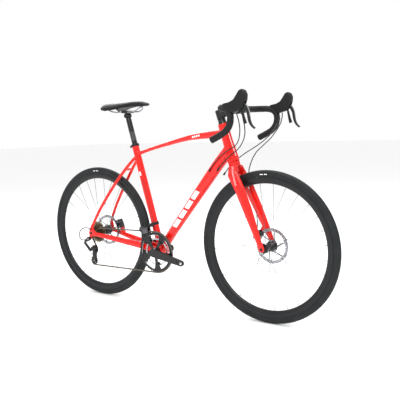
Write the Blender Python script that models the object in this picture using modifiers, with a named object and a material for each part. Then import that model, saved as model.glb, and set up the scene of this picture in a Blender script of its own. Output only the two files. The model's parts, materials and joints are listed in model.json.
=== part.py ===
"""Road bicycle with drop bars and disc brakes, built as separate parts.

Axes: +X forward, +Y to the rider's left, +Z up, so the chain is on the -Y side.
The origin is on the ground, midway between the two axles. Units are metres.
"""

import math

import bmesh
import bpy
from mathutils import Matrix, Vector

# ---- driving dimensions ---------------------------------------------------------------
GAP = 0.0003                      # clearance between pieces that touch
ROUND = 18                        # facets round a small turned piece
WHEEL_STEPS = 36                  # facets round a wheel

WHEELBASE = 1.008
TYRE_RADIUS = 0.340               # 28-622 tyre
TYRE_WIDTH = 0.0286
RIM_OUTER = 0.3110
RIM_INNER = 0.2810                # 30 mm deep rim
RIM_WIDTH = 0.0230
SPOKES = 28
FRONT_HUB_WIDTH = 0.100           # between the fork tips
REAR_HUB_WIDTH = 0.142            # between the dropouts
ROTOR_RADIUS = 0.080
ROTOR_THICKNESS = 0.0018
FRONT_ROTOR_Y = 0.0400
REAR_ROTOR_Y = 0.0535
AXLE_RADIUS = 0.0060

BB_X = -0.094                     # bottom bracket centre
BB_Z = 0.272
BB_SHELL_HALF = 0.034
BB_SHELL_RADIUS = 0.0235
BB_BORE_RADIUS = 0.0173
SPINDLE_RADIUS = 0.0119

SEAT_ANGLE = math.radians(74.3)
SEAT_TUBE_RADIUS = 0.0172
SEAT_TUBE_TOP_Z = 0.797
SEATPOST_RADIUS = 0.0136          # 27.2 mm post
SEATPOST_LENGTH = 0.320

HEAD_ANGLE = math.radians(72.5)
FORK_RAKE = 0.045
HEAD_TOP_Z = 0.882
HEAD_BOTTOM_Z = 0.714
HEAD_TOP_RADIUS = 0.0235
HEAD_BOTTOM_RADIUS = 0.0275
STEERER_RADIUS = 0.0143           # 28.6 mm steerer
STEM_Z = 0.924                    # stem clamp centre on the steering axis

BAR_CLAMP_RADIUS = 0.0159         # 31.8 mm clamp
BAR_RADIUS = 0.0120
TAPE_RADIUS = 0.0146
BAR_HALF_WIDTH = 0.198            # to the middle of the drops
BAR_X = 0.375
BAR_Z = 0.945

CHAIN_PITCH = 0.0127
LARGE_TEETH = 50
SMALL_TEETH = 34
CASSETTE_TEETH = (11, 12, 13, 14, 15, 17, 19, 21, 23, 25, 28)
REST_SPROCKET = 2                 # the chain is on the 13-tooth sprocket
PULLEY_TEETH = 11
LARGE_RING_Y = -0.0465
SMALL_RING_Y = -0.0390
SPROCKET_OUTER_Y = -0.0649        # smallest sprocket
SPROCKET_STEP = 0.00374
TOOTH_TRIM = 0.0017               # tooth tips stay this far under the pitch line
CRANK_LENGTH = 0.1725
CRANK_ANGLE = math.radians(-11.8)
GUIDE_PULLEY = (-0.503, 0.2535)   # x, z
TENSION_PULLEY = (-0.505, 0.1925)
REAR_CALIPER = (-0.4170, 0.3790)
FRONT_CALIPER = (0.4360, 0.3824)
CALIPER_LENGTH = 0.0440
CALIPER_FOOT = 0.0300             # from the caliper's end into the stay or fork leg

REAR_X = -WHEELBASE / 2
FRONT_X = WHEELBASE / 2
AXLE_Z = TYRE_RADIUS
CHAIN_Y = SPROCKET_OUTER_Y + REST_SPROCKET * SPROCKET_STEP
SEAT_UP = Vector((-math.cos(SEAT_ANGLE), 0, math.sin(SEAT_ANGLE)))
STEER_UP = Vector((-math.cos(HEAD_ANGLE), 0, math.sin(HEAD_ANGLE)))


# ---- scene, collections and materials -------------------------------------------------
for old in list(bpy.data.objects):
    bpy.data.objects.remove(old, do_unlink=True)

PARTS = bpy.data.collections.new("road_bicycle")
CUTTERS = bpy.data.collections.new("cutters")
for group in (PARTS, CUTTERS):
    bpy.context.scene.collection.children.link(group)


def paint(name, colour, roughness, metallic):
    """One Principled material."""
    made = bpy.data.materials.new(name)
    made.use_nodes = True
    shader = made.node_tree.nodes["Principled BSDF"]
    shader.inputs["Base Color"].default_value = (*colour, 1)
    shader.inputs["Roughness"].default_value = roughness
    shader.inputs["Metallic"].default_value = metallic
    return made


FRAME_RED = paint("frame_red", (0.80, 0.02, 0.012), 0.22, 0.0)
BLACK_ALLOY = paint("black_alloy", (0.018, 0.018, 0.02), 0.35, 0.6)
BLACK_PLASTIC = paint("black_plastic", (0.02, 0.02, 0.022), 0.5, 0.0)
TYRE_BLACK = paint("tyre_black", (0.016, 0.016, 0.017), 0.85, 0.0)
TAPE_BLACK = paint("tape_black", (0.02, 0.02, 0.02), 0.8, 0.0)
SADDLE_BLACK = paint("saddle_black", (0.015, 0.015, 0.016), 0.6, 0.0)
STEEL = paint("steel", (0.62, 0.62, 0.63), 0.3, 1.0)
CHAIN_STEEL = paint("chain_steel", (0.35, 0.34, 0.32), 0.4, 1.0)
CASSETTE_STEEL = paint("cassette_steel", (0.5, 0.48, 0.42), 0.35, 1.0)


# ---- modelling helpers ----------------------------------------------------------------
def link(made, material=None, group=PARTS):
    """Put an object in its collection with its material."""
    group.objects.link(made)
    if material is not None:
        made.data.materials.append(material)
    if group is CUTTERS:
        made.hide_render = True
        made.display_type = 'WIRE'
    return made


def turned(name, profile, steps, at=(0, 0, 0), axis='Y', material=None, group=PARTS, closed=False):
    """Revolve (radius, height) points about an axis; the profile runs down its outer side."""
    mesh = bpy.data.meshes.new(name)
    count = len(profile)
    edges = [(i, i + 1) for i in range(count - 1)]
    if closed:
        edges.append((count - 1, 0))
    mesh.from_pydata([(radius, 0, height) for radius, height in profile], edges, [])
    made = link(bpy.data.objects.new(name, mesh), material, group)
    screw = made.modifiers.new("turn", 'SCREW')
    screw.steps = steps
    screw.render_steps = steps
    screw.use_merge_vertices = True
    screw.merge_threshold = 0.00001
    made.location = at
    if axis == 'Y':
        made.rotation_euler = (-math.pi / 2, 0, 0)
    elif axis == 'X':
        made.rotation_euler = (0, math.pi / 2, 0)
    elif axis == 'SEAT':
        made.rotation_euler = (0, SEAT_ANGLE - math.pi / 2, 0)
    elif axis == 'STEER':
        made.rotation_euler = (0, HEAD_ANGLE - math.pi / 2, 0)
    return made


def rod(name, radius, low, high, at, axis='Y', material=None, group=PARTS, steps=ROUND):
    """A plain cylinder between two heights on its axis."""
    profile = [(0, high), (radius, high), (radius, low), (0, low)]
    return turned(name, profile, steps, at, axis, material, group)


def ring(name, inner, outer, low, high, at, axis='Y', material=None, group=PARTS, steps=ROUND):
    """A plain ring between two heights on its axis."""
    profile = [(outer, high), (outer, low), (inner, low), (inner, high)]
    return turned(name, profile, steps, at, axis, material, group, closed=True)


def flat(name, outlines, y_low, y_high, material=None, group=PARTS):
    """Extrude closed outlines, given as lists of world (x, z), between two y values."""
    curve = bpy.data.curves.new(name, 'CURVE')
    curve.dimensions = '2D'
    curve.fill_mode = 'BOTH'
    curve.extrude = (y_high - y_low) / 2
    for outline in outlines:
        spline = curve.splines.new('POLY')
        spline.points.add(len(outline) - 1)
        for point, (x, z) in zip(spline.points, outline):
            point.co = (x, z, 0, 1)
        spline.use_cyclic_u = True
    made = link(bpy.data.objects.new(name, curve), material, group)
    made.rotation_euler = (math.pi / 2, 0, 0)
    made.location = (0, (y_low + y_high) / 2, 0)
    return made


def wire(name, points, radius, material=None, group=PARTS, resolution=2, capped=True):
    """A round tube through world points."""
    curve = bpy.data.curves.new(name, 'CURVE')
    curve.dimensions = '3D'
    curve.bevel_depth = radius
    curve.bevel_resolution = resolution
    curve.use_fill_caps = capped
    spline = curve.splines.new('POLY')
    spline.points.add(len(points) - 1)
    for point, place in zip(spline.points, points):
        point.co = (*place, 1)
    return link(bpy.data.objects.new(name, curve), material, group)


def smooth(points, per_span):
    """Catmull-Rom samples through tuples of any length."""
    ends = [points[0], *points, points[-1]]
    samples = []
    for i in range(1, len(ends) - 2):
        before, start, stop, after = ends[i - 1:i + 3]
        for step in range(per_span):
            t = step / per_span
            samples.append(tuple(
                0.5 * (2 * b + (c - a) * t + (2 * a - 5 * b + 4 * c - d) * t * t
                       + (3 * b - a - 3 * c + d) * t ** 3)
                for a, b, c, d in zip(before, start, stop, after)))
    samples.append(tuple(points[-1]))
    return samples


def loft(name, stations, sides, material=None, group=PARTS, grow=0.0):
    """Skin ellipses (x, y, z, half width, half height) that stand across the path."""
    made = bmesh.new()
    rings = []
    centres = [Vector(station[:3]) for station in stations]
    for i, station in enumerate(stations):
        forward = (centres[min(i + 1, len(centres) - 1)] - centres[max(i - 1, 0)]).normalized()
        side = (Vector((0, 1, 0)) - forward * forward.y).normalized()
        up = forward.cross(side)
        half_width = station[3] + grow
        half_height = station[4] + grow
        turn = [2 * math.pi * k / sides for k in range(sides)]
        rings.append([made.verts.new(centres[i] + side * half_width * math.cos(a)
                                     + up * half_height * math.sin(a)) for a in turn])
    for first, second in zip(rings, rings[1:]):
        for k in range(sides):
            n = (k + 1) % sides
            made.faces.new((first[k], first[n], second[n], second[k]))
    made.faces.new(list(reversed(rings[0])))
    made.faces.new(rings[-1])
    bmesh.ops.recalc_face_normals(made, faces=made.faces)
    mesh = bpy.data.meshes.new(name)
    made.to_mesh(mesh)
    made.free()
    return link(bpy.data.objects.new(name, mesh), material, group)


def block(name, size, at, turn_y=0.0, material=None, group=PARTS):
    """A box with its centre at a place, turned about Y."""
    made = bmesh.new()
    bmesh.ops.create_cube(made, size=1)
    bmesh.ops.scale(made, vec=size, verts=made.verts)
    mesh = bpy.data.meshes.new(name)
    made.to_mesh(mesh)
    made.free()
    box = link(bpy.data.objects.new(name, mesh), material, group)
    box.location = at
    box.rotation_euler = (0, turn_y, 0)
    return box


def meshed(made):
    """Turn a curve object into a mesh object with welded caps."""
    bpy.context.view_layer.update()
    graph = bpy.context.evaluated_depsgraph_get()
    mesh = bpy.data.meshes.new_from_object(made.evaluated_get(graph))
    welded = bmesh.new()
    welded.from_mesh(mesh)
    bmesh.ops.remove_doubles(welded, verts=welded.verts, dist=0.000005)
    welded.to_mesh(mesh)
    welded.free()
    name = made.name
    group = PARTS if made.name in PARTS.objects else CUTTERS
    place = made.matrix_world.copy()
    bpy.data.objects.remove(made, do_unlink=True)
    solid = link(bpy.data.objects.new(name, mesh), None, group)
    solid.matrix_world = place
    return solid


def combine(target, tool, operation):
    """Join or cut with another object, which stays as a hidden tool."""
    change = target.modifiers.new(operation.lower(), 'BOOLEAN')
    change.operation = operation
    change.object = tool
    return target


def join(target, *tools):
    for tool in tools:
        combine(target, tool, 'UNION')
    return target


def cut(target, *tools):
    for tool in tools:
        combine(target, tool, 'DIFFERENCE')
    return target


def soften(target, width, segments=1):
    """Round the sharp edges of a prism."""
    weld = target.modifiers.new("weld", 'WELD')
    weld.merge_threshold = 0.00001
    bevel = target.modifiers.new("round", 'BEVEL')
    bevel.width = width
    bevel.segments = segments
    bevel.limit_method = 'ANGLE'
    bevel.angle_limit = math.radians(50)
    return target


def arc(centre, radius, start, stop, count):
    """Points on a circle in the XZ plane, angles in radians."""
    return [(centre[0] + radius * math.cos(start + (stop - start) * k / (count - 1)),
             centre[1] + radius * math.sin(start + (stop - start) * k / (count - 1)))
            for k in range(count)]


def circle(centre, radius, count):
    return arc(centre, radius, 0, 2 * math.pi * (count - 1) / count, count)


def strap(points, widths):
    """The outline of a band with a given half width at each of its (x, z) points."""
    left = []
    right = []
    for i, (x, z) in enumerate(points):
        ahead = points[min(i + 1, len(points) - 1)]
        behind = points[max(i - 1, 0)]
        run = Vector((ahead[0] - behind[0], ahead[1] - behind[1])).normalized()
        left.append((x - run.y * widths[i], z + run.x * widths[i]))
        right.append((x + run.y * widths[i], z - run.x * widths[i]))
    return left + right[::-1]


def hull_of_two(first, second, r_first, r_second, count=8):
    """The outline of a link with round ends of two radii."""
    run = Vector((second[0] - first[0], second[1] - first[1]))
    heading = math.atan2(run.y, run.x)
    lean = math.acos((r_first - r_second) / run.length)
    return (arc(second, r_second, heading - lean, heading + lean, count)
            + arc(first, r_first, heading + lean, heading + 2 * math.pi - lean, count))


def pitch_radius(teeth):
    return CHAIN_PITCH / 2 / math.sin(math.pi / teeth)


def steer_at(z):
    """The point of the steering axis at a height."""
    lean = (FORK_RAKE + (z - AXLE_Z) * math.cos(HEAD_ANGLE)) / math.sin(HEAD_ANGLE)
    return Vector((FRONT_X - lean, 0, z))


def seat_at(z):
    """The point of the seat tube's axis at a height."""
    return Vector((BB_X - (z - BB_Z) / math.tan(SEAT_ANGLE), 0, z))


# ---- frame ----------------------------------------------------------------------------
BB = (BB_X, 0, BB_Z)
head_low = steer_at(HEAD_BOTTOM_Z)
head_length = (HEAD_TOP_Z - HEAD_BOTTOM_Z) / math.sin(HEAD_ANGLE)
seat_length = (SEAT_TUBE_TOP_Z - BB_Z) / math.sin(SEAT_ANGLE)


def caliper_lie(centre, axle_x):
    """How a caliper lies: its turn about Y, the way out from the axle, and its long direction."""
    angle = math.atan2(centre[1] - AXLE_Z, centre[0] - axle_x)
    outward = Vector((math.cos(angle), 0, math.sin(angle)))
    return math.pi / 2 - angle, outward, Vector((outward.z, 0, -outward.x))


def caliper_foot(name, centre, axle_x, y_low, y_high):
    """The mount that a caliper's end is bolted to, part of the stay or the fork leg."""
    turn, _, run = caliper_lie(centre, axle_x)
    at = Vector((centre[0], (y_low + y_high) / 2, centre[1]))
    at += run * (CALIPER_LENGTH / 2 + GAP + CALIPER_FOOT / 2)
    return block(name, (CALIPER_FOOT, y_high - y_low, 0.0180), at, turn, group=CUTTERS)


def head_profile(grow):
    """Outer side of the head tube, from its top down; it flares to the lower bearing."""
    return [(HEAD_TOP_RADIUS + grow, head_length + grow),
            (HEAD_TOP_RADIUS + grow, head_length * 0.55),
            (HEAD_BOTTOM_RADIUS + grow, head_length * 0.12),
            (HEAD_BOTTOM_RADIUS + grow, -grow)]


def frame_cutters():
    """Slightly larger copies of the tubes that other tubes are mitred against."""
    head = [(0, head_length + GAP), *head_profile(GAP), (0, -GAP)]
    turned("head_mitre", head, ROUND, head_low, 'STEER', group=CUTTERS)
    rod("seat_mitre", SEAT_TUBE_RADIUS + GAP, 0, seat_length + 0.05, BB, 'SEAT',
        group=CUTTERS)
    rod("shell_mitre", BB_SHELL_RADIUS + GAP, -0.06, 0.06, BB, group=CUTTERS)
    return [CUTTERS.objects[name] for name in ("head_mitre", "seat_mitre", "shell_mitre")]


def front_triangle(head_mitre, seat_mitre, shell_mitre):
    bore = 0.0197
    turned("head_tube", [*head_profile(0), (bore, 0), (bore, head_length)], ROUND,
           head_low, 'STEER', FRAME_RED, closed=True)

    post_bore = SEATPOST_RADIUS + GAP
    bore_floor = seat_length - 0.300
    profile = [(0, bore_floor), (post_bore, bore_floor), (post_bore, seat_length),
               (SEAT_TUBE_RADIUS, seat_length), (SEAT_TUBE_RADIUS, 0), (0, 0)]
    seat = turned("seat_tube", profile, ROUND, BB, 'SEAT', FRAME_RED)
    shell = rod("shell_body", BB_SHELL_RADIUS, -BB_SHELL_HALF, BB_SHELL_HALF, BB,
                group=CUTTERS)
    shell_bore = rod("shell_bore", BB_BORE_RADIUS, -0.05, 0.05, BB, group=CUTTERS)
    cut(join(seat, shell), shell_bore)

    top = [(seat_at(0.748).x, 0, 0.748, 0.0125, 0.0085),
           (-0.145, 0, 0.7715, 0.0130, 0.0085),
           (-0.020, 0, 0.8005, 0.0145, 0.0100),
           (0.100, 0, 0.8250, 0.0170, 0.0130),
           (0.214, 0, 0.8355, 0.0190, 0.0165),
           (steer_at(0.840).x, 0, 0.840, 0.0200, 0.0185)]
    cut(loft("top_tube", smooth(top, 2), 12, FRAME_RED), seat_mitre, head_mitre)

    down = [(BB_X, 0, BB_Z, 0.0225, 0.0225),
            (-0.020, 0, 0.371, 0.0235, 0.0225),
            (0.120, 0, 0.539, 0.0245, 0.0245),
            (0.250, 0, 0.695, 0.0255, 0.0270),
            (steer_at(0.772).x, 0, 0.772, 0.0250, 0.0270)]
    cut(loft("down_tube", smooth(down, 2), 16, FRAME_RED), shell_mitre, seat_mitre, head_mitre)


DROPOUT_INNER_Y = REAR_HUB_WIDTH / 2
DROPOUT_OUTER_Y = DROPOUT_INNER_Y + 0.0065
CHAINSTAY = [(-0.103, 0.0265, 0.2735, 0.0080, 0.0170),
             (-0.190, 0.0285, 0.2915, 0.0085, 0.0170),
             (-0.320, 0.0450, 0.3115, 0.0075, 0.0155),
             (-0.430, 0.0635, 0.3290, 0.0062, 0.0125),
             (-0.482, 0.0735, 0.3365, 0.0032, 0.0100)]
SEATSTAY = [(-0.236, 0.0125, 0.7300, 0.0075, 0.0080),
            (-0.285, 0.0260, 0.6780, 0.0075, 0.0080),
            (-0.355, 0.0420, 0.5940, 0.0072, 0.0080),
            (-0.433, 0.0560, 0.4880, 0.0068, 0.0080),
            (-0.478, 0.0650, 0.4150, 0.0062, 0.0080),
            (-0.500, 0.0735, 0.3680, 0.0032, 0.0080)]


def stays(side, name, shell_mitre, seat_mitre):
    """Chainstay, dropout and seatstay of one side, joined as the welded unit."""
    lower = [(x, side * y, z, w, h) for x, y, z, w, h in CHAINSTAY]
    upper = [(x, side * y, z, w, h) for x, y, z, w, h in SEATSTAY]
    unit = loft(name, smooth(lower, 2), 10, FRAME_RED)
    seatstay = loft(name + "_upper", smooth(upper, 2), 8, group=CUTTERS)
    axle = (REAR_X, AXLE_Z)
    plate = (arc(axle, 0.0165, math.radians(172), math.radians(285), 6)
             + [(-0.470, 0.3275), (-0.470, 0.3470), (-0.483, 0.3560), (-0.487, 0.3850)]
             + [(-0.502, 0.3850)])
    y_span = sorted((side * DROPOUT_INNER_Y, side * DROPOUT_OUTER_Y))
    dropout = meshed(flat(name + "_dropout", [plate], *y_span, group=CUTTERS))
    join(unit, seatstay, dropout)
    if side < 0:
        hanger = hull_of_two((-0.506, 0.330), (-0.514, 0.311), 0.009, 0.0085)
        tab = meshed(flat(name + "_hanger", [hanger], -DROPOUT_OUTER_Y, -DROPOUT_INNER_Y - 0.0010,
                          group=CUTTERS))
        bridge = rod(name + "_bridge", 0.0055, -0.026, 0.0185, (-0.290, 0, 0.672),
                     group=CUTTERS, steps=12)
        join(unit, tab, bridge)
    else:
        join(unit, caliper_foot(name + "_foot", REAR_CALIPER, REAR_X, 0.0500, 0.0660))
    hole = rod(name + "_axle_hole", AXLE_RADIUS + GAP, -0.1, 0.1, (REAR_X, 0, AXLE_Z),
               group=CUTTERS, steps=16)
    cut(unit, shell_mitre, seat_mitre, hole)
    return unit


def seat_collar():
    collar_low = seat_length - 0.0110
    collar = ring("seat_collar", SEAT_TUBE_RADIUS + GAP, SEAT_TUBE_RADIUS + 0.0034,
                  collar_low, seat_length + 0.0010, BB, 'SEAT', BLACK_ALLOY)
    middle = Vector(BB) + SEAT_UP * (collar_low + 0.006)
    rear = middle + Vector((-math.sin(SEAT_ANGLE), 0, -math.cos(SEAT_ANGLE))) * 0.0245
    lug = block("collar_lug", (0.0100, 0.0150, 0.0110), rear, SEAT_ANGLE - math.pi / 2,
                group=CUTTERS)
    bolt = rod("collar_bolt", 0.0032, -0.0105, 0.0105, rear, group=CUTTERS, steps=12)
    join(collar, lug, bolt)


def bottom_bracket():
    """Two outboard bearing cups with the sleeve between them."""
    cup_end = BB_SHELL_HALF + 0.0085
    face = BB_SHELL_HALF + GAP
    sleeve = BB_BORE_RADIUS - GAP
    bore = SPINDLE_RADIUS + GAP
    profile = [(0.0212, cup_end), (0.0212, face), (sleeve, face), (sleeve, -face),
               (0.0212, -face), (0.0212, -cup_end), (bore, -cup_end), (bore, cup_end)]
    turned("bottom_bracket", profile, ROUND, BB, 'Y', BLACK_ALLOY, closed=True)


def headset():
    """Upper bearing with its cover above the head tube, and the lower bearing."""
    inner = STEERER_RADIUS + GAP
    outer = 0.0197 - GAP
    top = head_length
    stem_foot = (STEM_Z - HEAD_BOTTOM_Z) / math.sin(HEAD_ANGLE) - 0.0200
    profile = [(0.0175, stem_foot - GAP), (0.0180, top + 0.0090), (HEAD_TOP_RADIUS - 0.001, top + GAP),
               (outer, top + GAP), (outer, top - 0.0080), (inner, top - 0.0080),
               (inner, stem_foot - GAP)]
    turned("headset_upper", profile, ROUND, head_low, 'STEER', BLACK_ALLOY, closed=True)
    ring("headset_bearing_lower", 0.0155 + GAP, outer, 0.0010, 0.0085, head_low, 'STEER', STEEL)


# ---- fork, stem and handlebar ---------------------------------------------------------
CROWN_Z = 0.690


def fork():
    foot = -GAP - 0.0010
    steerer_top = (STEM_Z - HEAD_BOTTOM_Z) / math.sin(HEAD_ANGLE) + 0.0185
    profile = [(0, steerer_top), (STEERER_RADIUS, steerer_top), (STEERER_RADIUS, 0.030),
               (0.0155, 0.012), (0.0155, foot), (0.0265, foot), (0.0255, foot - 0.022),
               (0, foot - 0.026)]
    unit = turned("fork", profile, ROUND, head_low, 'STEER', FRAME_RED)
    tip_y = FRONT_HUB_WIDTH / 2 + 0.0055
    for side, label in ((1, "left"), (-1, "right")):
        crown = steer_at(CROWN_Z)
        legs = [(crown.x + 0.001, side * 0.0180, CROWN_Z + 0.004, 0.0120, 0.0245),
                (crown.x + 0.0065, side * 0.0345, CROWN_Z - 0.028, 0.0120, 0.0270),
                (0.392, side * 0.0405, 0.5950, 0.0115, 0.0255),
                (0.432, side * 0.0455, 0.5080, 0.0105, 0.0230),
                (0.466, side * 0.0510, 0.4300, 0.0090, 0.0180),
                (0.4975, side * tip_y, 0.3560, 0.0060, 0.0125)]
        leg = loft("fork_leg_" + label, legs, 10, group=CUTTERS)
        span = sorted((side * FRONT_HUB_WIDTH / 2, side * (FRONT_HUB_WIDTH / 2 + 0.0100)))
        shape = hull_of_two((0.4985, 0.3560), (FRONT_X, AXLE_Z), 0.0125, 0.0130)
        tip = meshed(flat("fork_tip_" + label, [shape], *span, group=CUTTERS))
        join(unit, leg, tip)
    join(unit, caliper_foot("fork_foot", FRONT_CALIPER, FRONT_X, 0.0440, 0.0560))
    hole = rod("fork_axle_hole", AXLE_RADIUS + GAP, -0.1, 0.1, (FRONT_X, 0, AXLE_Z),
               group=CUTTERS, steps=16)
    cut(unit, hole)


def stem():
    """Steerer clamp, arm and rear half of the bar clamp, and the front plate."""
    centre = steer_at(STEM_Z)
    unit = rod("stem", 0.0185, -0.0200, 0.0215, centre, 'STEER', BLACK_ALLOY)
    rise = (centre.x, 0, centre.z, 0.0150, 0.0160)
    middle = ((centre.x + BAR_X) / 2, 0, (centre.z + BAR_Z) / 2, 0.0145, 0.0150)
    arm_end = (BAR_X - 0.006, 0, BAR_Z - 0.001, 0.0185, 0.0150)
    arm = loft("stem_arm", smooth([rise, middle, arm_end], 2), 12, group=CUTTERS)
    clamp = rod("stem_clamp", 0.0212, -0.0210, 0.0210, (BAR_X, 0, BAR_Z), group=CUTTERS, steps=22)
    join(unit, arm, clamp)
    bore = rod("steerer_bore", STEERER_RADIUS + GAP, -0.0300, 0.0190, centre, 'STEER',
               group=CUTTERS)
    bar_bore = rod("bar_bore", BAR_CLAMP_RADIUS + GAP, -0.05, 0.05, (BAR_X, 0, BAR_Z),
                   group=CUTTERS)
    front_half = block("front_half", (0.040, 0.060, 0.060), (BAR_X + 0.0200 - GAP, 0, BAR_Z), 0.0,
                       group=CUTTERS)
    cut(unit, bore, bar_bore, front_half)

    plate = ring("stem_faceplate", BAR_CLAMP_RADIUS + GAP, 0.0212, -0.0210, 0.0210,
                 (BAR_X, 0, BAR_Z), 'Y', BLACK_ALLOY)
    rear_half = block("rear_half", (0.040, 0.060, 0.060), (BAR_X - 0.0200 + GAP, 0, BAR_Z), 0.0,
                      group=CUTTERS)
    cut(plate, rear_half)


BAR_HALF = [(BAR_X, 0.0, BAR_Z), (BAR_X, 0.060, BAR_Z), (BAR_X + 0.001, 0.120, BAR_Z + 0.001),
            (BAR_X + 0.012, 0.166, BAR_Z + 0.002), (BAR_X + 0.038, 0.190, BAR_Z + 0.001),
            (BAR_X + 0.064, 0.196, BAR_Z - 0.009), (BAR_X + 0.077, 0.198, BAR_Z - 0.032),
            (BAR_X + 0.073, 0.198, BAR_Z - 0.066), (BAR_X + 0.052, 0.198, BAR_Z - 0.094),
            (BAR_X + 0.020, 0.198, BAR_Z - 0.112), (BAR_X - 0.018, 0.198, BAR_Z - 0.129)]
BAR_BARE_HALF = 0.030             # the drop tubes start here, inside the bulge
TAPE_START = 0.062                # where the bar tape begins, from the middle


def bar_path(side, start):
    """The handlebar's centre line on one side, from a distance off the middle to its end."""
    rest = [(x, side * y, z) for x, y, z in smooth(BAR_HALF, 2) if y > start + 0.005]
    return [(BAR_X, side * start, BAR_Z), *rest]


def handlebar():
    bar = turned("handlebar", [(0, 0.050), (BAR_RADIUS - 0.001, 0.050), (BAR_CLAMP_RADIUS, 0.034),
                               (BAR_CLAMP_RADIUS, -0.034), (BAR_RADIUS - 0.001, -0.050), (0, -0.050)],
                 ROUND, (BAR_X, 0, BAR_Z), 'Y', BLACK_ALLOY)
    for side, label in ((1, "left"), (-1, "right")):
        drop = wire("bar_drop_" + label, bar_path(side, BAR_BARE_HALF), BAR_RADIUS, group=CUTTERS)
        join(bar, meshed(drop))
        tape = wire("bar_tape_" + label, bar_path(side, TAPE_START), TAPE_RADIUS, TAPE_BLACK,
                    capped=False)
        wall = tape.modifiers.new("wall", 'SOLIDIFY')
        wall.thickness = TAPE_RADIUS - BAR_RADIUS - 0.0005
        wall.offset = -1


LEVER_PIVOT = (0.512, 0.962)     # x, z
PADDLE_PIVOT = (0.508, 0.938)


def controls(side, label):
    """Rubber hood over the lever body, brake blade and shift paddle of one side."""
    y = side * BAR_HALF_WIDTH
    hood_outline = [(0.421, 0.963), (0.452, 0.968), (0.474, 0.978), (0.488, 0.997), (0.498, 1.013),
                    (0.511, 1.018), (0.524, 1.012), (0.531, 0.996), (0.529, 0.976), (0.521, 0.953),
                    (0.505, 0.936), (0.484, 0.930), (0.466, 0.925), (0.444, 0.934), (0.421, 0.940)]
    hood = meshed(flat("hood_" + label, [hood_outline], y - 0.0155, y + 0.0155))
    hood.data.materials.append(BLACK_PLASTIC)
    soften(hood, 0.0055, 2)
    bore = wire("hood_bore_" + label, bar_path(side, TAPE_START), TAPE_RADIUS + 0.0005, group=CUTTERS)
    cut(hood, meshed(bore))
    slot = block("hood_slot_" + label, (0.070, 0.0110, 0.0710), (0.5250, y, 0.9350), 0.0,
                 group=CUTTERS)
    cut(hood, slot)

    blade = smooth([(0.512, 0.959), (0.525, 0.948), (0.536, 0.928), (0.540, 0.902), (0.545, 0.884),
                    (0.554, 0.870), (0.566, 0.860)], 2)
    half_widths = [0.0068 - 0.0038 * i / (len(blade) - 1) for i in range(len(blade))]
    flat("brake_lever_" + label, [strap(blade, half_widths)], y - 0.0048, y + 0.0048, BLACK_ALLOY)

    paddle = smooth([(0.508, 0.938), (0.513, 0.915), (0.518, 0.895), (0.523, 0.880)], 2)
    paddle_widths = [0.0035 + 0.0035 * i / (len(paddle) - 1) for i in range(len(paddle))]
    flat("shift_paddle_" + label, [strap(paddle, paddle_widths)], y - 0.0032, y + 0.0032,
         BLACK_PLASTIC)


# ---- wheels ---------------------------------------------------------------------------
def spoke_set(name, x, left_flange, right_flange, flange_radius):
    """Crossed spokes: each runs from a flange, past its neighbours, to its own rim hole."""
    curve = bpy.data.curves.new(name, 'CURVE')
    curve.dimensions = '3D'
    curve.bevel_depth = 0.0009
    curve.bevel_resolution = 0
    curve.use_fill_caps = True
    rim_hole = RIM_INNER * math.cos(math.pi / WHEEL_STEPS) - GAP
    crossing = math.radians(66)
    for i in range(SPOKES):
        side = 1 if i % 2 == 0 else -1
        trailing = 1 if (i // 2) % 2 == 0 else -1
        rim_angle = 2 * math.pi * (i + 0.5) / SPOKES
        hub_angle = rim_angle + trailing * crossing
        flange = left_flange if side > 0 else right_flange
        start = (x + flange_radius * math.cos(hub_angle), flange + trailing * 0.0011,
                 AXLE_Z + flange_radius * math.sin(hub_angle))
        end = (x + rim_hole * math.cos(rim_angle), side * 0.0015,
               AXLE_Z + rim_hole * math.sin(rim_angle))
        spline = curve.splines.new('POLY')
        spline.points.add(1)
        for point, place in zip(spline.points, (start, end)):
            point.co = (*place, 1)
    made = link(bpy.data.objects.new(name, curve), None, CUTTERS)
    return meshed(made)


def wheel(label, x, hub_profile, left_flange, right_flange, rotor_y):
    centre = (x, 0, AXLE_Z)
    half = TYRE_WIDTH / 2
    seat = RIM_OUTER + GAP
    bead = RIM_WIDTH / 2 - GAP
    turned(label + "_tyre", [(seat, bead), (seat + 0.0150, half), (TYRE_RADIUS - 0.0045, 0.0095),
                             (TYRE_RADIUS, 0), (TYRE_RADIUS - 0.0045, -0.0095),
                             (seat + 0.0150, -half), (seat, -bead)],
           WHEEL_STEPS, centre, 'Y', TYRE_BLACK, closed=True)
    turned(label + "_rim", [(RIM_OUTER, RIM_WIDTH / 2), (RIM_OUTER, -RIM_WIDTH / 2),
                            (RIM_OUTER - 0.0140, -RIM_WIDTH / 2), (RIM_INNER, -0.0045),
                            (RIM_INNER, 0.0045), (RIM_OUTER - 0.0140, RIM_WIDTH / 2)],
           WHEEL_STEPS, centre, 'Y', BLACK_ALLOY, closed=True)
    hub = turned(label + "_hub", hub_profile, 14, centre, 'Y', BLACK_ALLOY, closed=True)
    join(hub, spoke_set(label + "_spokes", x, left_flange, right_flange, 0.0180))

    arms = 6
    outline = circle((x, AXLE_Z), ROTOR_RADIUS, WHEEL_STEPS)
    bore = circle((x, AXLE_Z), 0.0150, 14)
    windows = []
    for k in range(arms):
        start = 2 * math.pi * k / arms + math.radians(9)
        stop = start + math.radians(42)
        windows.append(arc((x, AXLE_Z), 0.0640, start, stop, 5)
                       + arc((x, AXLE_Z), 0.0255, stop - 0.18, start - 0.28, 2))
    flat(label + "_rotor", [outline, bore, *windows], rotor_y - ROTOR_THICKNESS / 2,
         rotor_y + ROTOR_THICKNESS / 2, STEEL)


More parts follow.
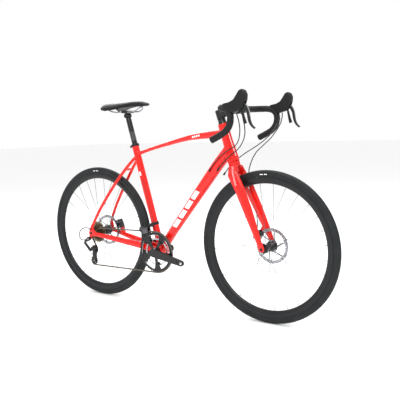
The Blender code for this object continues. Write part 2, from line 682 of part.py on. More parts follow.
def wheels():
    bore = AXLE_RADIUS + GAP
    end = FRONT_HUB_WIDTH / 2 - GAP
    left, right = 0.0240, -0.0335
    mount = FRONT_ROTOR_Y - ROTOR_THICKNESS / 2 - GAP
    front = [(0.0100, end), (0.0145, mount + 0.0040), (0.0145, mount), (0.0205, mount),
             (0.0205, left + 0.004), (0.0210, left + 0.0025), (0.0210, left - 0.0025),
             (0.0115, left - 0.006), (0.0115, right + 0.006), (0.0210, right + 0.0025),
             (0.0210, right - 0.0025), (0.0100, right - 0.005), (0.0100, -end),
             (bore, -end), (bore, end)]
    wheel("front", FRONT_X, front, left, right, FRONT_ROTOR_Y)

    end = REAR_HUB_WIDTH / 2 - GAP
    inboard = SPROCKET_OUTER_Y + 10 * SPROCKET_STEP + 0.0020
    left, right = 0.0340, -0.0180
    mount = REAR_ROTOR_Y - ROTOR_THICKNESS / 2 - GAP
    rear = [(0.0100, end), (0.0145, mount + 0.0050), (0.0145, mount), (0.0205, mount),
            (0.0205, left + 0.004), (0.0210, left + 0.0025), (0.0210, left - 0.0025),
            (0.0125, left - 0.006), (0.0125, right + 0.006), (0.0230, right + 0.0025),
            (0.0230, right - 0.0025), (0.0170, right - 0.0040), (0.0170, inboard),
            (bore, inboard), (bore, end)]
    wheel("rear", REAR_X, rear, left, right, REAR_ROTOR_Y)


def axles():
    """Through-axles, each with a head at both ends outside the frame or fork."""
    for label, x, half in (("front", FRONT_X, FRONT_HUB_WIDTH / 2 + 0.0100),
                           ("rear", REAR_X, DROPOUT_OUTER_Y)):
        profile = [(0, half + 0.0050), (0.0085, half + 0.0050), (0.0085, half + GAP),
                   (AXLE_RADIUS, half + GAP), (AXLE_RADIUS, -half - 0.0012), (0, -half - 0.0012)]
        turned(label + "_axle", profile, 16, (x, 0, AXLE_Z), 'Y', BLACK_ALLOY)


# ---- drivetrain -----------------------------------------------------------------------
def cassette():
    """Eleven sprockets on the freehub body."""
    profile = []
    for i, teeth in reversed(list(enumerate(CASSETTE_TEETH))):
        y = SPROCKET_OUTER_Y + i * SPROCKET_STEP
        tip = pitch_radius(teeth) - TOOTH_TRIM
        spacer = pitch_radius(CASSETTE_TEETH[max(i - 1, 0)]) - 0.0063
        profile += [(tip, y + 0.0008), (tip, y - 0.0008)]
        if i in (REST_SPROCKET, REST_SPROCKET + 1):
            profile += [(spacer, y - 0.0008), (spacer, y - SPROCKET_STEP + 0.0008)]
        elif i > 0:
            profile.append((spacer, y - SPROCKET_STEP / 2))
    end = -REAR_HUB_WIDTH / 2 + GAP
    bore = AXLE_RADIUS + GAP
    profile += [(0.0150, SPROCKET_OUTER_Y - 0.0012), (0.0150, end + 0.0030), (0.0100, end),
                (bore, end), (bore, profile[0][1])]
    turned("cassette", profile, 15, (REAR_X, 0, AXLE_Z), 'Y', CASSETTE_STEEL, closed=True)


def toothed(teeth, centre):
    """A sprocket outline with pointed teeth."""
    tip = pitch_radius(teeth) - TOOTH_TRIM
    outline = []
    for k in range(teeth * 2):
        radius = tip if k % 2 == 0 else tip - 0.0042
        angle = math.pi * k / teeth
        outline.append((centre[0] + radius * math.cos(angle), centre[1] + radius * math.sin(angle)))
    return outline


def ring_window(tab_radius, rim_radius, centre):
    """Inner edge of a chainring, with five tabs that reach in to the bolts."""
    edge = []
    for arm in range(5):
        heading = CRANK_ANGLE + 2 * math.pi * arm / 5
        edge += arc(centre, tab_radius, heading - math.radians(9), heading + math.radians(9), 3)
        edge += arc(centre, rim_radius, heading + math.radians(14), heading + math.radians(58), 6)
    return edge


def cranks():
    centre = (BB_X, BB_Z)
    flat("chainring_large", [toothed(LARGE_TEETH, centre), ring_window(0.0490, 0.0845, centre)],
         LARGE_RING_Y - 0.0010, LARGE_RING_Y + 0.0010, BLACK_ALLOY)
    flat("chainring_small", [toothed(SMALL_TEETH, centre), ring_window(0.0490, 0.0605, centre)],
         SMALL_RING_Y - 0.0010, SMALL_RING_Y + 0.0010, BLACK_ALLOY)

    hub_start = -(BB_SHELL_HALF + 0.0085) - GAP
    spider_face = LARGE_RING_Y - 0.0010 - GAP
    arm_face = -0.0735
    arm = turned("crank_right", [(0, 0.0580), (SPINDLE_RADIUS, 0.0580), (SPINDLE_RADIUS, hub_start),
                                 (0.0200, hub_start), (0.0200, -0.0660), (0, -0.0660)],
                 ROUND, BB, 'Y', BLACK_ALLOY)
    spokes = []
    for k in range(5):
        heading = CRANK_ANGLE + 2 * math.pi * k / 5
        spokes += [(BB_X + r * math.cos(heading + a), BB_Z + r * math.sin(heading + a))
                   for r, a in ((0.0190, -0.42), (0.0600, -0.13), (0.0600, 0.13), (0.0190, 0.42))]
    spider = meshed(flat("spider", [spokes], spider_face - 0.0045, spider_face, group=CUTTERS))
    eye = (BB_X + CRANK_LENGTH * math.cos(CRANK_ANGLE), BB_Z + CRANK_LENGTH * math.sin(CRANK_ANGLE))
    inner_hole = (BB_X + (CRANK_LENGTH - 0.020) * math.cos(CRANK_ANGLE),
                  BB_Z + (CRANK_LENGTH - 0.020) * math.sin(CRANK_ANGLE))
    holes = [circle(eye, 0.0070, 12), circle(inner_hole, 0.0040, 10)]
    shape = hull_of_two(centre, eye, 0.0205, 0.0140, 9)
    blade = meshed(flat("crank_blade", [shape, *holes], arm_face, arm_face + 0.0130, group=CUTTERS))
    join(arm, spider, blade)

    left_eye = (2 * BB_X - eye[0], 2 * BB_Z - eye[1])
    left_shape = hull_of_two(centre, left_eye, 0.0195, 0.0140, 9)
    bore = circle(centre, SPINDLE_RADIUS + GAP, 20)
    left = meshed(flat("crank_left", [left_shape, bore, circle(left_eye, 0.0070, 12)],
                       -arm_face - 0.0130, -arm_face))
    left.data.materials.append(BLACK_ALLOY)
    collar = ring("crank_left_boss", SPINDLE_RADIUS + GAP, 0.0180, BB_SHELL_HALF + 0.0085 + GAP,
                  -arm_face - 0.0100, BB, group=CUTTERS)
    join(left, collar)


def belt_path():
    """Centre line of the chain round its four wheels; it stays in their planes near them."""
    stops = [((REAR_X, AXLE_Z), pitch_radius(CASSETTE_TEETH[REST_SPROCKET]), 1, CHAIN_Y, 8, 0, 0.020),
             ((BB_X, BB_Z), pitch_radius(LARGE_TEETH), 1, LARGE_RING_Y, 18, 0.035, 0.035),
             (TENSION_PULLEY, pitch_radius(PULLEY_TEETH), 1, CHAIN_Y, 8, 0.020, 0),
             (GUIDE_PULLEY, pitch_radius(PULLEY_TEETH), -1, CHAIN_Y, 6, 0, 0)]
    normals = []
    for i, (start, r_start, turn_start, *_) in enumerate(stops):
        end, r_end, turn_end, *_ = stops[(i + 1) % len(stops)]
        run = Vector((end[0] - start[0], end[1] - start[1]))
        across = (turn_start * r_start - turn_end * r_end) / run.length
        along = run.normalized()
        side = Vector((-along.y, along.x))
        normals.append(along * across + side * math.sqrt(1 - across * across))
    points = []
    for i, (centre, radius, turn, y, count, lead_in, lead_out) in enumerate(stops):
        arrive = normals[i - 1] * turn
        leave = normals[i] * turn
        first = math.atan2(arrive.y, arrive.x)
        last = math.atan2(leave.y, leave.x)
        while turn * (first - last) < 0:
            last -= turn * 2 * math.pi
        wrap = arc(centre, radius, first, last, count)
        into, out = normals[i - 1], normals[i]
        if lead_in:
            wrap.insert(0, (wrap[0][0] - into.y * lead_in, wrap[0][1] + into.x * lead_in))
        if lead_out:
            wrap.append((wrap[-1][0] + out.y * lead_out, wrap[-1][1] - out.x * lead_out))
        points += [(x, y, z) for x, z in wrap]
    return points


def chain():
    """The chain as a closed band with side plates and a web, clear of every tooth."""
    path = [Vector(place) for place in belt_path()]
    plate, slot, web, height = 0.0025, 0.0013, 0.0007, 0.0040
    section = [(-plate, -height), (-slot, -height), (-slot, -web), (slot, -web), (slot, -height),
               (plate, -height), (plate, height), (slot, height), (slot, web), (-slot, web),
               (-slot, height), (-plate, height)]
    made = bmesh.new()
    rings = []
    for i, place in enumerate(path):
        before = (place - path[i - 1]).normalized()
        after = (path[(i + 1) % len(path)] - place).normalized()
        forward = (before + after).normalized()
        side = (Vector((0, 1, 0)) - forward * forward.y).normalized()
        up = forward.cross(side)
        stretch = 1 / max(forward.dot(before), 0.5)
        rings.append([made.verts.new(place + side * a + up * b * stretch) for a, b in section])
    for i, first in enumerate(rings):
        second = rings[(i + 1) % len(rings)]
        for k in range(len(section)):
            n = (k + 1) % len(section)
            made.faces.new((first[k], first[n], second[n], second[k]))
    bmesh.ops.recalc_face_normals(made, faces=made.faces)
    mesh = bpy.data.meshes.new("chain")
    made.to_mesh(mesh)
    made.free()
    link(bpy.data.objects.new("chain", mesh), CHAIN_STEEL)


def front_derailleur():
    place = seat_at(0.405)
    band = ring("front_derailleur_body", SEAT_TUBE_RADIUS + GAP, SEAT_TUBE_RADIUS + 0.0035,
                -0.0070, 0.0070, place, 'SEAT', BLACK_ALLOY)
    arm = block("fd_arm", (0.020, 0.0230, 0.016), Vector((place.x - 0.002, -0.0290, 0.4015)), 0.0,
                group=CUTTERS)
    join(band, arm)

    x = -0.156
    inner_y, outer_y, wall = -0.0420, -0.0560, 0.0012
    top = block("front_derailleur_cage", (0.0440, inner_y - outer_y - wall, 0.0018),
                (x - 0.004, (inner_y + outer_y) / 2, 0.3900), 0.0, BLACK_ALLOY)
    shape = [(x - 0.034, 0.3720), (x - 0.012, 0.3580), (x + 0.020, 0.3640), (x + 0.022, 0.3925),
             (x - 0.030, 0.3925)]
    for label, y in (("inner", inner_y - wall / 2), ("outer", outer_y + wall / 2)):
        side = meshed(flat("fd_plate_" + label, [shape], y - wall / 2, y + wall / 2, group=CUTTERS))
        join(top, side)


HANGER_BOLT = Vector((-0.514, 0.311))
LINK_START = Vector((-0.541, 0.290))
LINK_END = Vector((-0.5016, 0.2503))
LINK_HALF = 0.0060
LINK_PIN = Vector((LINK_START.y - LINK_END.y, LINK_END.x - LINK_START.x)).normalized()
ARM_END = LINK_START + LINK_PIN * 0.0130       # the knuckle's arm, above the link's pin
CAGE_PIVOT = LINK_END + LINK_PIN * 0.0165
MECH_OUTER_Y = -0.0930
LINK_Y = MECH_OUTER_Y + 0.0040


def rear_derailleur():
    """Hanger knuckle, parallelogram link, cage knuckle, cage and two pulleys."""
    knuckle = meshed(flat("rear_derailleur_knuckle", [hull_of_two(HANGER_BOLT, ARM_END, 0.0110, 0.0065)],
                          MECH_OUTER_Y, -DROPOUT_OUTER_Y - GAP))
    knuckle.data.materials.append(BLACK_ALLOY)
    stop = rod("rd_cable_stop", 0.0035, -0.0200, 0.0030, (ARM_END.x, -0.0830, ARM_END.y + 0.0020), 'X',
               group=CUTTERS, steps=10)
    join(knuckle, stop)

    flat("rear_derailleur_link", [hull_of_two(LINK_START, LINK_END, LINK_HALF, LINK_HALF, 7)],
         LINK_Y - 0.0040, LINK_Y + 0.0040, BLACK_ALLOY)

    outer_plate = CHAIN_Y - 0.0062
    rod("rear_derailleur_cage_knuckle", 0.0100, LINK_Y - 0.0010, outer_plate - GAP,
        (CAGE_PIVOT.x, 0, CAGE_PIVOT.y), 'Y', BLACK_ALLOY)

    plate_shape = (arc(GUIDE_PULLEY, 0.0120, math.radians(100), math.radians(200), 4)
                   + arc(TENSION_PULLEY, 0.0110, math.radians(180), math.radians(360), 7)
                   + arc(CAGE_PIVOT, 0.0100, math.radians(-20), math.radians(90), 4))
    cage = meshed(flat("rear_derailleur_cage", [plate_shape], outer_plate, outer_plate + 0.0014))
    cage.data.materials.append(BLACK_ALLOY)
    inner_shape = hull_of_two(GUIDE_PULLEY, TENSION_PULLEY, 0.0110, 0.0100, 6)
    inner_plate = meshed(flat("rd_inner_plate", [inner_shape], CHAIN_Y + 0.0048, CHAIN_Y + 0.0062,
                              group=CUTTERS))
    join(cage, inner_plate)
    for label, (x, z) in (("guide", GUIDE_PULLEY), ("tension", TENSION_PULLEY)):
        pin = rod("rd_pin_" + label, 0.0025, -0.0060, 0.0060, (x, CHAIN_Y, z), group=CUTTERS, steps=10)
        join(cage, pin)
        outline = toothed(PULLEY_TEETH, (x, z))
        flat(label + "_pulley", [outline, circle((x, z), 0.0028, 10)],
             CHAIN_Y - 0.0010, CHAIN_Y + 0.0010, BLACK_PLASTIC)


# ---- brakes ---------------------------------------------------------------------------
def caliper(name, arm_name, centre, axle_x, rotor_y):
    """A mechanical caliper that straddles the rotor, and the arm that its cable pulls."""
    turn, outward, run = caliper_lie(centre, axle_x)
    at = Vector((centre[0], rotor_y, centre[1]))
    body = block(name, (CALIPER_LENGTH, 0.0330, 0.0300), at, turn, BLACK_ALLOY)
    soften(body, 0.0035)
    slot = block(name + "_slot", (CALIPER_LENGTH + 0.02, 0.0045, 0.0300), at - outward * 0.0080, turn,
                 group=CUTTERS)
    cut(body, slot)
    arm_y = rotor_y + 0.0165 + GAP
    pivot = (centre[0], centre[1])
    tip = (centre[0] + run.x * 0.0290, centre[1] + run.z * 0.0290)
    arm = meshed(flat(arm_name, [hull_of_two(pivot, tip, 0.0085, 0.0050, 6)], arm_y, arm_y + 0.0040))
    arm.data.materials.append(BLACK_ALLOY)


def brakes():
    caliper("rear_caliper", "rear_caliper_arm", REAR_CALIPER, REAR_X, REAR_ROTOR_Y)
    caliper("front_caliper", "front_caliper_arm", FRONT_CALIPER, FRONT_X, FRONT_ROTOR_Y)


# ---- seatpost and saddle --------------------------------------------------------------
RAIL_Y = 0.0220
RAIL_Z = 0.9585
RAIL_RADIUS = 0.0035
HEAD_Z = 0.9400
HEAD_RADIUS = 0.0120


def seatpost():
    head = seat_at(HEAD_Z)
    post = rod("seatpost", SEATPOST_RADIUS, -SEATPOST_LENGTH, -0.004, head, 'SEAT', BLACK_ALLOY,
               steps=ROUND)
    join(post, rod("seatpost_head", HEAD_RADIUS, -0.0170, 0.0170, head, group=CUTTERS))


def saddle_clamp():
    """Lower cradle and top plate with the rails gripped between them."""
    head = seat_at(HEAD_Z)
    low = head.z + HEAD_RADIUS + GAP
    high = RAIL_Z + 0.0065
    clamp = block("saddle_clamp", (0.0360, 0.0560, high - low), (head.x, 0, (low + high) / 2), 0.0,
                  BLACK_ALLOY)
    soften(clamp, 0.0020)
    for side in (1, -1):
        groove = rod("rail_groove" + str(side), RAIL_RADIUS + GAP, -0.05, 0.05,
                     (head.x, side * RAIL_Y, RAIL_Z), 'X', group=CUTTERS, steps=8)
        cut(clamp, groove)


RAIL_HALF = [(-0.3880, 0.0330, 0.9760), (-0.3660, 0.0290, 0.9640), (-0.3400, RAIL_Y, RAIL_Z),
             (-0.3080, RAIL_Y, RAIL_Z), (-0.2560, RAIL_Y, RAIL_Z), (-0.2300, RAIL_Y, RAIL_Z), (-0.2080, 0.0190, 0.9640),
             (-0.1900, 0.0110, 0.9770), (-0.1860, 0.0, 0.9795)]


def saddle():
    half = smooth(RAIL_HALF, 2)
    loop = half + [(x, -y, z) for x, y, z in reversed(half[:-1])]
    wire("saddle_rails", loop, RAIL_RADIUS, STEEL, resolution=1)

    # stations: x, half width, top of the pad, bottom of the shell, drop of the side skirt
    outline = [(-0.4230, 0.0380, 1.0010, 0.9930), (-0.4080, 0.0620, 1.0040, 0.9900),
               (-0.3800, 0.0690, 1.0045, 0.9880), (-0.3400, 0.0620, 1.0040, 0.9875),
               (-0.2900, 0.0420, 1.0060, 0.9890), (-0.2350, 0.0270, 1.0090, 0.9900),
               (-0.1850, 0.0210, 1.0070, 0.9890), (-0.1530, 0.0160, 0.9990, 0.9880),
               (-0.1420, 0.0080, 0.9950, 0.9890)]
    saddle_skin("saddle_cover", outline, 0.0, SADDLE_BLACK)
    saddle_skin("saddle_shell", outline[1:-1], 1.0, BLACK_PLASTIC)


def saddle_skin(name, stations, under, material):
    """A strip of half-arched sections: the pad above, or the shell just under it."""
    across = 8
    made = bmesh.new()
    rings = []
    for x, half, top, low in stations:
        half = half - under * 0.0040
        upper = []
        lower = []
        for k in range(across + 1):
            u = -1 + 2 * k / across
            skirt = 0.0200 * abs(u) ** 3 * min(half / 0.0690, 1.0) ** 1.5
            arch = 0.0045 * u * u
            if under:
                high = low - GAP - skirt
                floor = high - 0.0035
            else:
                high = top - arch - skirt
                floor = low - skirt
            upper.append(made.verts.new((x, u * half, high)))
            lower.append(made.verts.new((x, u * half, floor)))
        rings.append(upper + lower[::-1])
    size = len(rings[0])
    for first, second in zip(rings, rings[1:]):
        for k in range(size):
            n = (k + 1) % size
            made.faces.new((first[k], first[n], second[n], second[k]))
    made.faces.new(rings[0])
    made.faces.new(rings[-1])
    bmesh.ops.recalc_face_normals(made, faces=made.faces)
    mesh = bpy.data.meshes.new(name)
    made.to_mesh(mesh)
    made.free()
    return link(bpy.data.objects.new(name, mesh), material)


# ---- cables ---------------------------------------------------------------------------
HOUSING_RADIUS = 0.0023


def cables():
    """Housings that run from the levers to the down tube, the fork and the rear mech."""
    y = BAR_HALF_WIDTH
    routes = {
        "shift_cable_rear": [(0.476, -y + 0.008, 0.9240), (0.482, -0.184, 0.895), (0.468, -0.152, 0.856),
                             (0.428, -0.098, 0.815), (0.383, -0.055, 0.787), (0.332, -0.0385, 0.765),
                             (0.288, -0.0345, 0.740), (0.248, -0.0290, 0.704), (0.224, -0.0285, 0.674)],
        "brake_cable_rear": [(0.498, -y + 0.010, 0.9270), (0.504, -0.180, 0.893), (0.486, -0.142, 0.841),
                             (0.440, -0.090, 0.800), (0.395, -0.058, 0.770), (0.345, -0.0430, 0.742),
                             (0.305, -0.0350, 0.712), (0.270, -0.0295, 0.678)],
        "shift_cable_front": [(0.472, y - 0.014, 0.924), (0.466, 0.176, 0.880), (0.446, 0.135, 0.825),
                              (0.410, 0.085, 0.782), (0.372, 0.050, 0.752), (0.332, 0.0375, 0.722),
                              (0.296, 0.0315, 0.690), (0.266, 0.0290, 0.654)],
        "brake_cable_front": [(0.484, y - 0.006, 0.926), (0.478, 0.186, 0.880), (0.450, 0.145, 0.815),
                              (0.410, 0.080, 0.755), (0.392, 0.054, 0.700), (0.385, 0.0500, 0.650),
                              (0.396, 0.0570, 0.570), (0.412, 0.0600, 0.500), (0.4180, 0.0610, 0.4500),
                              (0.4180, 0.0610, 0.4130)],
        "derailleur_cable": [(-0.4950, -0.0820, 0.3600), (-0.5250, -0.0820, 0.3680),
                             (-0.5600, -0.0820, 0.3620), (-0.5830, -0.0820, 0.3400),
                             (-0.5840, -0.0820, 0.3130), (-0.5720, -0.0830, ARM_END.y + 0.0025),
                             (-0.5530, -0.0830, ARM_END.y + 0.0020)],
    }
    for name, route in routes.items():
        wire(name, smooth(route, 2), HOUSING_RADIUS, BLACK_PLASTIC, resolution=2)


# ---- rig: an empty on each joint axis, with the pieces that move with it --------------
def rig():
    """Parent every moving piece to an empty on its joint, without moving it."""
    steer = steer_at(STEM_Z)
    head = seat_at(HEAD_Z)
    pivot_x, pivot_z = LEVER_PIVOT
    bar_y = BAR_HALF_WIDTH
    joints = {
        "steering": (None, steer, [
            "fork", "stem", "stem_faceplate", "handlebar", "bar_tape_left", "bar_tape_right",
            "hood_left", "hood_right", "front_caliper", "front_axle", "brake_cable_front",
            "brake_cable_rear", "shift_cable_front", "shift_cable_rear"]),
        "front_wheel": ("steering", (FRONT_X, 0, AXLE_Z), [
            "front_tyre", "front_rim", "front_hub", "front_rotor"]),
        "rear_wheel": (None, (REAR_X, 0, AXLE_Z), ["rear_tyre", "rear_rim", "rear_hub", "rear_rotor"]),
        "sprockets": (None, (REAR_X, CHAIN_Y, AXLE_Z), ["cassette"]),
        "crank": (None, BB, ["crank_right", "crank_left", "chainring_large", "chainring_small"]),
        "front_mech": (None, seat_at(0.405), ["front_derailleur_cage"]),
        "rear_mech": (None, (LINK_START.x, LINK_Y, LINK_START.y), ["rear_derailleur_link"]),
        "cage_knuckle": ("rear_mech", (LINK_END.x, LINK_Y, LINK_END.y), [
            "rear_derailleur_cage_knuckle"]),
        "cage": ("cage_knuckle", (CAGE_PIVOT.x, CHAIN_Y, CAGE_PIVOT.y), ["rear_derailleur_cage"]),
        "guide": ("cage", (GUIDE_PULLEY[0], CHAIN_Y, GUIDE_PULLEY[1]), ["guide_pulley"]),
        "tension": ("cage", (TENSION_PULLEY[0], CHAIN_Y, TENSION_PULLEY[1]), ["tension_pulley"]),
        "lever_left": ("steering", (pivot_x, bar_y, pivot_z), ["brake_lever_left"]),
        "lever_right": ("steering", (pivot_x, -bar_y, pivot_z), ["brake_lever_right"]),
        "paddle_left": ("lever_left", (PADDLE_PIVOT[0], bar_y, PADDLE_PIVOT[1]), ["shift_paddle_left"]),
        "paddle_right": ("lever_right", (PADDLE_PIVOT[0], -bar_y, PADDLE_PIVOT[1]), [
            "shift_paddle_right"]),
        "front_brake": ("steering", (FRONT_CALIPER[0], FRONT_ROTOR_Y, FRONT_CALIPER[1]), [
            "front_caliper_arm"]),
        "rear_brake": (None, (REAR_CALIPER[0], REAR_ROTOR_Y, REAR_CALIPER[1]), ["rear_caliper_arm"]),
        "post": (None, head, ["seatpost"]),
        "saddle": ("post", head, ["saddle_clamp", "saddle_rails", "saddle_shell", "saddle_cover"]),
    }
    places = {}
    for label, (parent, place, members) in joints.items():
        empty = bpy.data.objects.new("axis_" + label, None)
        empty.empty_display_size = 0.02
        PARTS.objects.link(empty)
        places[label] = (empty, Vector(place))
        empty.location = places[label][1]
        if parent is not None:
            empty.parent = places[parent][0]
            empty.location = places[label][1] - places[parent][1]
        for member in members:
            piece = bpy.data.objects[member]
            piece.parent = empty
            piece.matrix_parent_inverse = Matrix.Translation(-places[label][1])


# ---- build ----------------------------------------------------------------------------
mitres = frame_cutters()
front_triangle(*mitres)
stays(1, "stays_left", mitres[2], mitres[1])
stays(-1, "stays_right", mitres[2], mitres[1])
seat_collar()
bottom_bracket()
headset()
fork()
stem()
handlebar()
controls(1, "left")
controls(-1, "right")
wheels()
axles()
cassette()
cranks()
chain()
front_derailleur()
rear_derailleur()
brakes()
seatpost()
saddle_clamp()
saddle()
cables()
rig()
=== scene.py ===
"""Looks of the road bicycle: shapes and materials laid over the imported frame.

+X is forward, +Y the rider's left, +Z up; units are metres. Positions are read from the frame's
own nodes, or are worked out from the same driving dimensions as the CAD.
"""

import json
import math

import bmesh
import bpy
from mathutils import Matrix, Vector
from mathutils.bvhtree import BVHTree


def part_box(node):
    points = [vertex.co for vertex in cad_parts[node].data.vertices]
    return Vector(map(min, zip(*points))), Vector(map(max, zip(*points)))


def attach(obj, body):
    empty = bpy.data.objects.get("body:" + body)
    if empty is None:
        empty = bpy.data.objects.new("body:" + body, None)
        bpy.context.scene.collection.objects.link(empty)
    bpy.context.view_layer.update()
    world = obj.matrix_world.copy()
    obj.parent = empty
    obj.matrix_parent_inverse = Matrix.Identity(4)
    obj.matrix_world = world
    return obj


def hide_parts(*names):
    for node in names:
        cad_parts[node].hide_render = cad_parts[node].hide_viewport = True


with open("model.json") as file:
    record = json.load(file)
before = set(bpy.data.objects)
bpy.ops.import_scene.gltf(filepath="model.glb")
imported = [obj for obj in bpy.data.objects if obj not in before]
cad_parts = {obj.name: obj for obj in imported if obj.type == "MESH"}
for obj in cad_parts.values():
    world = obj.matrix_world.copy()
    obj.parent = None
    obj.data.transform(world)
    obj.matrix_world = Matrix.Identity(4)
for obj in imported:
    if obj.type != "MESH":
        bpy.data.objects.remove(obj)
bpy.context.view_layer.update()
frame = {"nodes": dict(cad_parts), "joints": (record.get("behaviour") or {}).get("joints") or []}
NODES = frame["nodes"]


# ---- driving dimensions ---------------------------------------------------------------
def middle_of(node):
    low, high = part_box(node)
    return (low + high) / 2


def joint_at(name):
    return next(Vector(joint["pos_m"]) for joint in frame["joints"] if joint["name"] == name)


FRONT = joint_at("front_wheel_spin")
REAR = joint_at("rear_wheel_spin")
BB = joint_at("crank_spin")
GUIDE = joint_at("guide_pulley_spin")
TENSION = joint_at("tension_pulley_spin")
STEER = joint_at("steering")
SADDLE_AXIS = joint_at("saddle_tilt")
TYRE_RADIUS = (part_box("front_tyre")[1].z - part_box("front_tyre")[0].z) / 2
TYRE_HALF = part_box("front_tyre")[1].y
RIM_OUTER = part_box("front_rim")[1].z - FRONT.z
RIM_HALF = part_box("front_rim")[1].y
RIM_INNER = 0.2810
SPOKES = 28
SPOKE_CROSSING = math.radians(66)
SPOKE_RADIUS = 0.00092
WHEEL_STEPS = 160
ROTOR_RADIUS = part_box("front_rotor")[1].z - FRONT.z
BAR_RADIUS = 0.0120
TAPE_RADIUS = 0.0146
CHAIN_PITCH = 0.0127
ROLLER_RADIUS = 0.0038
LARGE_TEETH = 50
SMALL_TEETH = 34
CASSETTE_TEETH = (11, 12, 13, 14, 15, 17, 19, 21, 23, 25, 28)
REST_SPROCKET = 2
PULLEY_TEETH = 11
LARGE_RING_Y = middle_of("chainring_large").y
SMALL_RING_Y = middle_of("chainring_small").y
SPROCKET_OUTER_Y = -0.0649
SPROCKET_STEP = 0.00374
CHAIN_Y = SPROCKET_OUTER_Y + REST_SPROCKET * SPROCKET_STEP
CRANK_ANGLE = math.radians(-11.8)
CRANK_LENGTH = 0.1725
SPIDER_ARMS = 5
SPIDER_BOLT_RADIUS = 0.0550
SEAT_UP = Vector((-math.cos(math.radians(74.3)), 0, math.sin(math.radians(74.3))))
STEER_UP = Vector((-math.cos(math.radians(72.5)), 0, math.sin(math.radians(72.5))))
DOWN_FOOT = Vector((BB.x, 0, BB.z))
DOWN_RUN = Vector((0.344, 0, 0.423)).normalized()


def pitch_radius(teeth):
    return CHAIN_PITCH / (2 * math.sin(math.pi / teeth))


# ---- materials ------------------------------------------------------------------------
class Nodes:
    """A material's node tree, with short calls for the nodes that a pattern needs."""

    def __init__(self, name):
        self.material = bpy.data.materials.new(name)
        self.material.use_nodes = True
        self.tree = self.material.node_tree
        self.shader = self.tree.nodes["Principled BSDF"]
        self.place = self.tree.nodes.new("ShaderNodeTexCoord").outputs["Object"]

    def feed(self, socket, value):
        if isinstance(value, bpy.types.NodeSocket):
            self.tree.links.new(value, socket)
        else:
            socket.default_value = value

    def math(self, operation, a, b=0.0):
        node = self.tree.nodes.new("ShaderNodeMath")
        node.operation = operation
        self.feed(node.inputs[0], a)
        self.feed(node.inputs[1], b)
        return node.outputs[0]

    def along(self, direction, origin):
        """Distance along a direction from an origin, in metres."""
        node = self.tree.nodes.new("ShaderNodeVectorMath")
        node.operation = 'DOT_PRODUCT'
        self.feed(node.inputs[0], self.place)
        node.inputs[1].default_value = direction
        return self.math('SUBTRACT', node.outputs["Value"], Vector(direction).dot(origin))

    def between(self, value, low, high):
        """1 where the value lies between two limits, 0 outside."""
        above = self.math('GREATER_THAN', value, low)
        return self.math('MULTIPLY', above, self.math('LESS_THAN', value, high))

    def both(self, a, b):
        return self.math('MULTIPLY', a, b)

    def either(self, a, b):
        return self.math('MAXIMUM', a, b)

    def noise(self, scale, detail=2.0, stretch=None):
        node = self.tree.nodes.new("ShaderNodeTexNoise")
        node.inputs["Scale"].default_value = scale
        node.inputs["Detail"].default_value = detail
        source = self.place
        if stretch:
            mapping = self.tree.nodes.new("ShaderNodeMapping")
            mapping.inputs["Scale"].default_value = stretch
            self.feed(mapping.inputs["Vector"], self.place)
            source = mapping.outputs["Vector"]
        self.feed(node.inputs["Vector"], source)
        return node.outputs["Fac"]

    def mix(self, factor, a, b):
        node = self.tree.nodes.new("ShaderNodeMix")
        node.data_type = 'RGBA'
        self.feed(node.inputs["Factor"], factor)
        for socket, value in ((node.inputs["A"], a), (node.inputs["B"], b)):
            if isinstance(value, tuple):
                value = (*value, 1)
            self.feed(socket, value)
        return node.outputs["Result"]

    def spread(self, value, low, high):
        """The value, taken from 0.3...0.7, stretched over low...high."""
        node = self.tree.nodes.new("ShaderNodeMapRange")
        self.feed(node.inputs["Value"], value)
        for socket, number in zip(node.inputs[1:5], (0.3, 0.7, low, high)):
            socket.default_value = number
        return node.outputs["Result"]

    def bump(self, height, strength, distance=0.001):
        node = self.tree.nodes.new("ShaderNodeBump")
        node.inputs["Strength"].default_value = strength
        node.inputs["Distance"].default_value = distance
        self.feed(node.inputs["Height"], height)
        self.feed(self.shader.inputs["Normal"], node.outputs["Normal"])


def shade(colour, factor):
    return tuple(min(1.0, channel * factor) for channel in colour)


def surface(name, colour, rough, metal=0.0, grain=300.0, relief=0.15, vary=0.15, coat=0.0,
            stretch=None, depth=0.0004, shine=0.5):
    """A finish with broad colour variation, uneven gloss and a fine grain."""
    made = Nodes(name)
    broad = made.noise(18.0)
    tone = made.mix(made.spread(broad, 0.0, 1.0), shade(colour, 1 - vary), shade(colour, 1 + vary))
    made.feed(made.shader.inputs["Base Color"], tone)
    fine = made.noise(grain, 3.0, stretch)
    made.feed(made.shader.inputs["Roughness"], made.spread(fine, rough * 0.85, rough * 1.15))
    made.shader.inputs["Metallic"].default_value = metal
    made.shader.inputs["Specular IOR Level"].default_value = shine
    made.shader.inputs["Coat Weight"].default_value = coat
    made.shader.inputs["Coat Roughness"].default_value = 0.06
    made.bump(fine, relief, depth)
    made.tone = tone
    return made


RED = (0.74, 0.0065, 0.0030)
WHITE = (0.86, 0.86, 0.86)
DARK_RED = (0.16, 0.004, 0.003)


def dress_in(made, *layers):
    """Lay flat colours over a surface's own tone, each where its mask is 1."""
    tone = made.tone
    for mask, colour in layers:
        tone = made.mix(mask, tone, colour)
    made.feed(made.shader.inputs["Base Color"], tone)
    made.tone = tone


